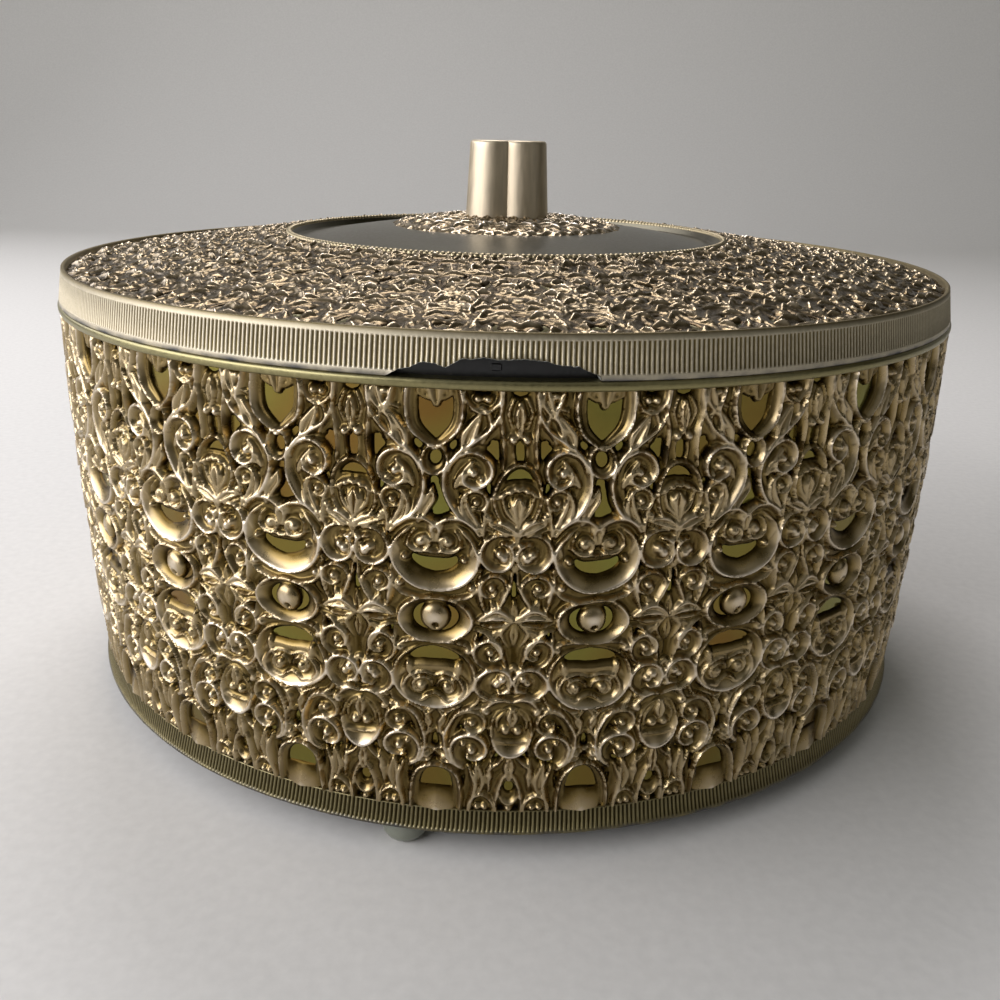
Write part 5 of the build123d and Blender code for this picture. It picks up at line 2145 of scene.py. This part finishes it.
@dataclass
class Lid(Assembly):
    """The lid: ribbed band, ornamented cone, beaded well, dome and knob.

    Sections are given by their (radius, height, rounding) corners, and arcs by three points of them.

    Attributes:
        edge_level: Level of the cone's crest at its edge.
        slope: Rise of the cone for each mm inward.
        r_edge: Radius where the cone's ornament starts.
        r_inside: Radius where it ends.
        relief: Depth of its ground under the crest.
        lift: Factor on the height of the lid's ornaments.
        sectors: Sectors of the cone.
        cone_rows: Rows of points on them.
        back_rows: Rows of points on their backs.
        ground_wall: Thickness of the ornament's ground.
        backing_wall: Thickness of the backing.
        band_section: Section of the ribbed band.
        band_ribs: Its ribs.
        band_span: Lowest and highest level of the ribs.
        z_band: Level of the band's lower edge.
        chip: Break in the front of that edge, as (place along X, height of the break).
        r_screw: Radius of the hole for the knob's screw.
        r_pan: Radii of the carrier's sunk pan, inside and outside.
        z_pan: Levels of the pan's underside and floor.
        z_carrier: Level of the carrier's foot.
        carrier_edge: Radii of that foot, inside and outside.
        carrier_depth: Depths of its underside and its top under the cone's crest.
        beads: Beads round the well.
        bead_steps: Samples to a bead.
        r_beads: Radius of the bead ring's middle.
        bead_half: Half the ring's width.
        z_beads: Level of the ring's foot.
        bead_sill: Height of the plain sill under the beads.
        bead_high: Height of the beads.
        dish_rim: Outline of the dish from under the bead ring inward.
        dish_floor: Arc of the dish.
        dish_under: Arc of its underside.
        dish_hub: Outline of its hub.
        dome_crest: Arc of the dome's crest.
        dome_relief: Depth of its ground under the crest.
        dome_wall: Thickness of that ground.
        scallop: Width of the dome's scalloped foot.
        z_dome_foot: Level of the dome's foot.
        backing_depth: Depth of the dome's backing under the crest.
        z_knob_foot: Level of the knob's foot.
        z_knob_edge: Level where its side ends.
        z_knob_top: Level of its top.
        knob_height: Height over which its taper is measured.
        knob_taper: Share of its width that the taper takes.
        knob_top: Share of the width that its rounded top starts from.
        knob_round: Radius of the rounding.
        knob_reach: Distance along X and Y from the middle to a lobe's centre.
        knob_lobe: Radius of a lobe.
        knob_steps: Steps round the knob.
    """

    body: str = "lid"
    edge_level: float = 121.4
    slope: float = 0.14
    r_edge: float = 125.8
    r_inside: float = 66.5
    relief: float = 1.7
    lift: float = 1.2
    sectors: int = 8
    cone_rows: int = 216
    back_rows: int = 4
    ground_wall: float = 0.5
    backing_wall: float = 0.8
    band_section: Sequence[Corner] = (
        (128.6, 112.7, 0.25), (128.39, 113.9), (127.22, 120.5), (127.0, 121.7, 0.15), (126.2, 121.7, 0.15),
        (125.9, 121.2), (125.9, 117.7), (124.6, 117.7), (124.6, 117.0), (125.9, 117.0), (125.9, 112.7),
    )
    band_ribs: int = 776
    band_span: Point = (113.9, 120.4)
    z_band: float = 112.7
    chip: Sequence[Point] = (
        (-22.8, -1.0), (-22.4, 0.3), (-20.0, 1.5), (-17.9, 1.9), (-15.3, 3.2), (-11.0, 2.5), (-8.3, 3.8),
        (-3.8, 4.2), (6.8, 4.1), (10.8, 3.3), (15.3, 2.7), (16.5, 1.9), (18.4, 0.9), (19.3, -1.0),
    )
    r_screw: float = 2.2
    r_pan: Point = (66.0, 67.2)
    z_pan: Point = (123.7, 124.9)
    z_carrier: float = 117.7
    carrier_edge: Point = (124.6, 125.8)
    carrier_depth: Point = (3.7, 2.5)
    beads: int = 288
    bead_steps: int = 8
    r_beads: float = 65.45
    bead_half: float = 0.94
    z_beads: float = 128.5
    bead_sill: float = 0.2
    bead_high: float = 0.75
    dish_rim: Sequence[Point] = (
        (65.9, 124.9), (65.9, 128.5), (64.5, 128.5), (64.44, 128.45), (64.42, 128.39),
        (64.01, 127.1), (63.9, 126.92), (63.55, 126.75),
    )
    dish_floor: Sequence[Point] = ((35.0, 130.8), (49.75, 128.95), (64.5, 126.3))
    dish_under: Sequence[Point] = ((35.0, 129.4), (49.75, 127.55), (62.9, 124.9))
    dish_hub: Sequence[Point] = ((2.2, 130.8), (2.2, 124.9), (8.0, 124.9), (8.0, 129.4))
    dome_crest: Sequence[Point] = ((34.9, 131.6), (21.45, 133.7), (8.0, 134.8))
    dome_relief: float = 1.5
    dome_wall: float = 0.6
    scallop: float = 1.2
    z_dome_foot: float = 130.8
    backing_depth: float = 1.65
    z_knob_foot: float = 132.5
    z_knob_edge: float = 154.3
    z_knob_top: float = 155.2
    knob_height: float = 22.0
    knob_taper: float = 0.096
    knob_top: float = 0.904
    knob_round: float = 0.9
    knob_reach: float = 4.6
    knob_lobe: float = 7.8
    knob_steps: int = 480

    def cone(self, radius: np.ndarray, depth: float) -> np.ndarray:
        """Level of the cone at a radius, a depth under its crest."""
        return self.edge_level + self.slope * (self.r_edge - radius) - depth

    def build_band(self) -> None:
        """Builds the ribbed band with its broken lower edge."""
        band = RibbedBand("lid_band_ribbed", self.band_section, self.band_ribs, self.band_span)
        points, marks = band.surface()
        columns = points.shape[1]
        rough = drift((1, columns), 9.0, 3)[0] * 0.12 + drift((1, columns), 3.0, 4)[0] * 0.06
        side, front = points[0, :, 0], points[0, :, 1] < 0
        edge = np.interp(side, *zip(*self.chip))
        broken = front & (edge > 0.02)
        edge = np.where(broken, np.maximum(edge + rough, 0.0), 0.0) + self.z_band
        before = points[:, :, 2].copy()
        points[:, :, 2] = np.maximum(before, edge[None])
        shape = ring_net(points, marks)
        moved = (points[:, :, 2] > before + 1e-6).ravel()
        shape.finish = [moved[group].all(1).astype(int) for group in shape.faces]
        made = [self.finishes.ribs, self.finishes.bare]
        write_piece(band.name, shape, self.body, made, ["lid_band"], 60)

    def build_cone(self) -> None:
        """Builds the ornamented cone in sectors, and its backing."""
        ornament = LidOrnament()
        height = ornament.heights()[:, ::2]
        height = height[np.linspace(0, len(height) - 1, self.cone_rows).astype(int)]
        height, angle = self.closed(height, ornament.tiles)
        radius = np.linspace(self.r_edge, self.r_inside, self.cone_rows)[:, None]
        front = round_places(radius, angle, self.cone(radius, self.relief) + self.lift * height)
        picked = np.linspace(0, self.cone_rows - 1, self.back_rows).astype(int)
        under = self.cone(radius[picked], self.relief + self.ground_wall)
        back = round_places(radius[picked], angle, under)
        names = [f"lid_filigree_{number}" for number in range(1, self.sectors + 1)]
        crest = height / ornament.depth
        self.put_panels(names, front, back, crest, self.finishes.lid_relief_painted_light, "lid_filigree")
        low, high = self.relief + self.backing_wall, self.relief
        outer, inner = self.r_edge, self.r_inside
        places = ((outer, low), (outer, high), (inner, high), (inner, low))
        corners = [(radius, self.cone(radius, depth)) for radius, depth in places]
        self.put("lid_backing", turned(np.array(corners)), "gilt_mirror", self.finishes.mirror, "lid_mirror")

    def build_carrier(self) -> None:
        """Builds the black carrier with its sunk pan."""
        (inside, outside), (under, floor) = self.r_pan, self.z_pan
        (foot, edge), (below, above) = self.carrier_edge, self.carrier_depth
        corners = [
            (self.r_screw, under),
            (outside, under, 0.8),
            (outside, self.cone(outside, below), 1.0),
            (foot, self.z_carrier),
            (edge, self.z_carrier, 0.2),
            (edge, self.cone(edge, above)),
            (inside, self.cone(inside, above)),
            (inside, floor),
            (self.r_screw, floor),
        ]
        shape = turned(rounded(corners))
        self.put("lid_carrier", shape, "black_styrene", self.finishes.black, "lid_shell", 30)

    def build_beads(self) -> None:
        """Builds the beaded rim of the well."""
        columns = self.beads * self.bead_steps
        angle = np.arange(columns) * TAU / columns
        phase = (np.arange(columns) % self.bead_steps) / self.bead_steps
        away = 2 * np.minimum(phase, 1 - phase)
        size = np.sqrt(np.clip(1 - (0.92 * away) ** 2, 0.0, 1))[None]
        around = np.linspace(0, math.pi, 11)[:, None]
        middle, half, low = self.r_beads, self.bead_half, self.z_beads
        radius = middle + half * np.cos(around) * (0.45 + 0.55 * size)
        level = low + self.bead_sill + self.bead_high * np.sin(around) * (0.3 + 0.7 * size)
        top = round_places(radius, angle[None], level)
        foot = round_places(np.array([[middle - half], [middle + half]]), angle[None], np.full((2, 1), low))
        shape = ring_net(np.concatenate([top, foot]))
        self.put("bead_ring_beaded", shape, "gilt_satin", self.finishes.beads, "bead_ring", 80)

    def build_dish(self) -> None:
        """Builds the satin dish round the dome."""
        surface = sampled(self.dish_floor, 63.0, 35.0, 20)
        below = sampled(self.dish_under, 35.0, 62.9, 12)
        outline = np.array([*self.dish_rim, *surface, *self.dish_hub, *below])
        shape = turned(outline, FINE_STEPS)
        self.put("well_dish_turned", shape, "gilt_satin", self.finishes.dish, "well_dish")

    def knob_outline(self, angle: np.ndarray, scale: float, inset: float) -> np.ndarray:
        """Radius of the four-lobed outline.

        Args:
            angle: Angles from the front.
            scale: Share of the foot's size.
            inset: How far the outline is drawn in.

        Returns:
            Its radius at each angle.
        """
        reach = self.knob_reach * math.sqrt(2) * scale
        size = self.knob_lobe * scale - inset
        lobe = (angle % (math.pi / 2)) - math.pi / 4
        inside = np.clip(size * size - (reach * np.sin(lobe)) ** 2, 0, None)
        return reach * np.cos(lobe) + np.sqrt(inside)

    def socket(self, points: np.ndarray) -> np.ndarray:
        """Points lowered to just under the knob's seat where the knob stands on them.

        Args:
            points: Points of the dome.

        Returns:
            The same points.
        """
        angle = np.arctan2(points[..., 0], -points[..., 1])
        inside = np.hypot(points[..., 0], points[..., 1]) < self.knob_outline(angle, 1.0, 0.0) - 0.3
        lowered = np.minimum(points[..., 2], self.z_knob_foot - 0.02)
        points[..., 2] = np.where(inside, lowered, points[..., 2])
        return points

    def build_dome(self) -> None:
        """Builds the ornamented dome and the bright button under it."""
        ornament = DomeOrnament()
        height = ornament.heights()[:, ::2]
        rows, columns = height.shape
        angle = np.arange(columns)[None] * TAU / columns
        crest = arc_height(self.dome_crest)
        radius = np.linspace(ornament.edge, ornament.inside, rows)[:, None]
        base = crest(radius) - self.dome_relief
        grown = smoothstep((ornament.edge - radius) / self.scallop)
        level = base + self.lift * height * (0.7 + 0.3 * grown)
        front = self.socket(round_places(radius, angle, level))
        picked = np.linspace(0, rows - 1, 6).astype(int)
        under = np.maximum(base[picked] - self.dome_wall, self.z_dome_foot)
        back = self.socket(round_places(radius[picked], angle, under))
        back[..., 2] = np.minimum(back[..., 2], front[picked][..., 2] - 0.3)
        shape = slab(front, back, True, {"crest": height / ornament.depth})
        finish = self.finishes.lid_relief_painted_light
        self.put("dome_ornament", shape, "gilt_relief", finish, "dome_filigree", RELIEF_SHARP)
        seat = [(2.2, 130.8), (33.3, 130.8), (33.3, 130.9)]
        top = [(r, z - self.backing_depth) for r, z in sampled(self.dome_crest, 31.0, 15.5, 10)]
        shape = turned(np.array(seat + top + [(15.4, 132.4), (2.2, 132.4)]), 256)
        self.put("dome_backing", shape, "gilt_mirror", self.finishes.mirror, "dome_mirror")

    def build_knob(self) -> None:
        """Builds the four-lobed knob with softened edges."""
        angle = np.arange(self.knob_steps) * TAU / self.knob_steps
        foot, edge, bend = self.z_knob_foot, self.z_knob_edge, self.knob_round
        levels = np.linspace(foot, edge, 16)
        rows = [(z, 1 - self.knob_taper * (z - foot) / self.knob_height, 0.0) for z in levels]
        for turn in np.linspace(0.0, math.pi / 2, 6)[1:]:
            rows.append((edge + bend * math.sin(turn), self.knob_top, bend * (1 - math.cos(turn))))
        rings = [round_places(self.knob_outline(angle, s, i), angle, np.array(z)) for z, s, i in rows]
        rings += [rings[-1] * (share, share, 1) for share in (0.9, 0.72, 0.5, 0.28, 0.1)]
        shape = capped(np.stack(rings), foot, self.z_knob_top)
        self.put("knob_lobed", shape, "gilt_satin", self.finishes.knob, "knob", 50)

    def build(self) -> None:
        """Builds every piece of the lid."""
        self.build_band()
        self.build_cone()
        self.build_carrier()
        self.build_beads()
        self.build_dish()
        self.build_dome()
        self.build_knob()
        dress("knob_screw", self.finishes.steel)
        dress("knob_washer", self.finishes.steel)


@dataclass
class Tray(Assembly):
    """The ivory lift-out tray with its pegs and its turned handle.

    Attributes:
        r_outside: Radius of the tray.
        wall: Thickness of its wall.
        r_middle: Radii of the round middle's wall, inside and outside.
        z_floor: Level of its underside.
        z_inside: Level of its floor.
        z_boss: Level of the bosses' tops.
        z_divider: Level of the dividers' tops.
        z_middle: Level of the round middle's top.
        z_top: Level of its rim.
        z_root: Level inside the floor where what stands on it starts.
        dividers: Number of dividers.
        divider_x: Span of a divider from the middle outward.
        divider_half: Half its thickness.
        pegs: Angles of the pegs from +X, in degrees.
        r_pegs: Distance of the pegs from the middle.
        peg_boss: Radius of a peg's boss.
        handle_boss: Radius of the handle's boss.
        waist: (level, radius) of three points of the handle's side.
        handle_cap: Corners of the handle's cap.
    """

    body: str = "tray"
    r_outside: float = 121.2
    wall: float = 1.8
    r_middle: Point = (40.0, 41.6)
    z_floor: float = 79.6
    z_inside: float = 81.4
    z_boss: float = 84.4
    z_divider: float = 107.6
    z_middle: float = 103.6
    z_top: float = 111.6
    z_root: float = 80.5
    dividers: int = 4
    divider_x: Point = (40.8, 120.3)
    divider_half: float = 0.8
    pegs: Sequence[float] = (-25.0, 0.0, 25.0, 155.0, 180.0, 205.0)
    r_pegs: float = 95
    peg_boss: float = 4.0
    handle_boss: float = 8.0
    waist: Sequence[Point] = ((84.4, 6.5), (96.4, 3.6), (108.4, 6.5))
    handle_cap: Sequence[Corner] = ((9.0, 109.4, 0.5), (9.0, 111.4, 0.5), (8.0, 112.4, 0.6), (0, 112.4))

    def boss(self, radius: float, columns: int) -> Shape:
        """A round boss on the tray's floor, with so many steps round it."""
        corners = [(0, self.z_root), (radius, self.z_root), (radius, self.z_boss, 0.6), (0, self.z_boss)]
        return turned(rounded(corners, closed=False), columns)

    def build_moulding(self) -> None:
        """Builds the ring, the round middle, the dividers and the bosses."""
        outer, inner = self.r_outside, self.r_outside - self.wall
        well, ring = self.r_middle
        corners = [
            (0, self.z_floor),
            (outer, self.z_floor, 1.0),
            (outer, self.z_top, 0.8),
            (inner, self.z_top, 0.8),
            (inner, self.z_inside, 1.6),
            (ring, self.z_inside, 1.2),
            (ring, self.z_middle, 0.7),
            (well, self.z_middle, 0.7),
            (well, self.z_inside, 1.6),
            (0, self.z_inside),
        ]
        across = (-self.divider_half, self.divider_half)
        divider = block(self.divider_x, across, (self.z_root, self.z_divider), 0.4)
        extras = [divider.moved(turn=math.pi * (0.25 + 0.5 * number)) for number in range(self.dividers)]
        boss = self.boss(self.peg_boss, 48)
        for angle in self.pegs:
            turn = math.radians(angle)
            extras.append(boss.moved(self.r_pegs * math.cos(turn), self.r_pegs * math.sin(turn)))
        extras.append(self.boss(self.handle_boss, 72))
        shape = turned(rounded(corners, 6, closed=False)).joined(extras)
        self.put("tray_moulding", shape, "ivory_styrene", self.finishes.ivory, "tray", 30)

    def build_handle(self) -> None:
        """Builds the turned handle."""
        side = [(radius, level) for level, radius in sampled(self.waist, 84.6, 108.2, 16)]
        cap = rounded([side[-1], *self.handle_cap], 4, closed=False)
        outline = np.array([(0, 84.4), (6.5, 84.4), *side, *cap[1:]])
        self.put("handle_turned", turned(outline, 96), "ivory_styrene", self.finishes.ivory, "tray_handle")

    def build(self) -> None:
        """Builds every piece of the tray."""
        self.build_moulding()
        self.build_handle()
        dress("tray_handle_screw", self.finishes.steel)
        for number in range(1, len(self.pegs) + 1):
            dress(f"spool_peg_{number}", self.finishes.ivory)


@dataclass(frozen=True)
class Lamp:
    """A soft lamp that looks at the box.

    Attributes:
        name: Name of the lamp.
        place: Where it hangs, in metres.
        size: Its width and height, in metres.
        power: Its power in watts.
        tone: Its colour.
        aim: Point that it looks at, in metres.
    """

    name: str
    place: Tuple[float, float, float]
    size: Point
    power: float
    tone: str
    aim: Tuple[float, float, float] = (0.0, 0.0, 0.08)

    def build(self) -> None:
        """Hangs the lamp."""
        lamp = bpy.data.lights.new(self.name, "AREA")
        lamp.shape = "RECTANGLE"
        lamp.size, lamp.size_y = self.size
        lamp.energy = self.power
        lamp.color = colour(self.tone)[:3]
        held = bpy.data.objects.new(self.name, lamp)
        held.location = self.place
        way = Vector(self.aim) - Vector(self.place)
        held.rotation_euler = way.to_track_quat("-Z", "Y").to_euler()
        bpy.context.scene.collection.objects.link(held)


@dataclass
class Studio:
    """The paper floor, the lamps, the world and the camera.

    Attributes:
        finishes: The box's finishes.
        camera_place: Where the camera stands, in metres.
        pitch: How far it looks down, in radians.
        roll: How far it leans, in radians.
        lens: Its focal length in mm, on a sensor 36 mm wide.
        sensor: Width of the sensor in mm.
        sweep_front: Places along Y of the flat floor's rows, in metres.
        sweep_bend: Radius of the curve behind it, in metres.
        sweep_top: Height of the paper behind the curve, in metres.
        sweep_half: Half the paper's width, in metres.
        slant: Way in which the room gets paler.
        room: Places and colours of the room from its floor to its lit side.
        strength: Strength of the room's light.
        lamps: The lamps.
    """

    finishes: Finishes
    camera_place: Tuple[float, float, float] = (0.0, -0.309713, 0.156188)
    pitch: float = 0.357
    roll: float = 0.024
    lens: float = 974 * 0.036
    sensor: float = 36.0
    sweep_front: Sequence[float] = (-6.0, -2.0, -0.6, 0.6, 1.3)
    sweep_bend: float = 0.5
    sweep_top: float = 2.4
    sweep_half: float = 5.0
    slant: Tuple[float, float, float] = (-0.6, 0.0, 0.8)
    room: Sequence[Tuple[float, str]] = ((0.0, "#2a2716"), (1.0, "#c9cbcf"), (0.4, "#5a563f"))
    strength: float = 0.6
    lamps: Sequence[Lamp] = (
        Lamp("key_window", (-1.25, -0.55, 0.64), (1.8, 0.9), 27.0, "#f9f8ff"),
        Lamp("top_panel", (-0.1, 0.6, 1.15), (0.6, 0.3), 7.0, "#fcf9ff"),
        Lamp("rear_window", (-1.15, 0.55, 0.72), (0.8, 0.6), 5.0, "#f9f8ff"),
        Lamp("fill_panel", (1.3, -1.0, 0.7), (1.0, 1.0), 1.0, "#f2f5ff"),
    )

    def build_floor(self) -> None:
        """Builds a paper sweep that runs back and curves up."""
        back, bend = self.sweep_front[-1], self.sweep_bend
        lines = [(y, 0.0) for y in self.sweep_front]
        for turn in np.linspace(0.1, math.pi / 2, 12):
            lines.append((back + bend * math.sin(turn), bend - bend * math.cos(turn)))
        lines.append((back + bend, self.sweep_top))
        xs = np.linspace(-self.sweep_half, self.sweep_half, 9)
        points = np.array([[(x, y, z) for x in xs] for y, z in lines])
        faces, _ = netting(len(lines), len(xs), False, False)
        mesh = bpy.data.meshes.new("paper_floor")
        mesh.from_pydata(points.reshape(-1, 3).tolist(), [], faces.tolist())
        mesh.shade_smooth()
        mesh.materials.append(self.finishes.paper)
        floor = bpy.data.objects.new("paper_floor", mesh)
        bpy.context.scene.collection.objects.link(floor)

    def build_world(self) -> None:
        """Sets a soft room round the box, paler above than below."""
        world = bpy.data.worlds.new("studio_room")
        world.use_nodes = True
        tree = world.node_tree
        tree.nodes.clear()
        way = add_node(tree, "ShaderNodeTexCoord").outputs["Generated"]
        slant = {0: way, 1: self.slant}
        upward = add_node(tree, "ShaderNodeVectorMath", slant, operation="DOT_PRODUCT").outputs["Value"]
        span = {"Value": upward, "From Min": -0.6, "From Max": 1.0}
        level = add_node(tree, "ShaderNodeMapRange", span).outputs[0]
        tone = add_node(tree, "ShaderNodeValToRGB", {"Fac": level}, self.room).outputs["Color"]
        light = add_node(tree, "ShaderNodeBackground", {"Color": tone, "Strength": self.strength}).outputs[0]
        add_node(tree, "ShaderNodeOutputWorld", {"Surface": light})
        bpy.context.scene.world = world

    def build_camera(self) -> None:
        """Sets the camera at the photograph's angle."""
        lens = bpy.data.cameras.new("camera")
        lens.sensor_width = self.sensor
        lens.sensor_fit = "HORIZONTAL"
        lens.lens = self.lens
        lens.clip_start = 0.01
        camera = bpy.data.objects.new("camera", lens)
        turned_up = Matrix.Rotation(math.pi / 2 - self.pitch, 4, "X") @ Matrix.Rotation(self.roll, 4, "Z")
        camera.matrix_world = Matrix.Translation(self.camera_place) @ turned_up
        bpy.context.scene.collection.objects.link(camera)
        bpy.context.scene.camera = camera

    def build(self) -> None:
        """Builds the studio."""
        self.build_floor()
        for lamp in self.lamps:
            lamp.build()
        self.build_world()
        self.build_camera()


def main() -> None:
    """Builds the box and its studio."""
    logging.basicConfig(level=logging.INFO, format="%(message)s")
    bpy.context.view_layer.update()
    bpy.context.scene.view_settings.view_transform = "Standard"
    finishes = Finishes()
    for part in (Body(finishes), Lid(finishes), Tray(finishes), Studio(finishes)):
        part.build()
        LOG.info("%s is built", type(part).__name__)


if __name__ == "__main__":
    main()
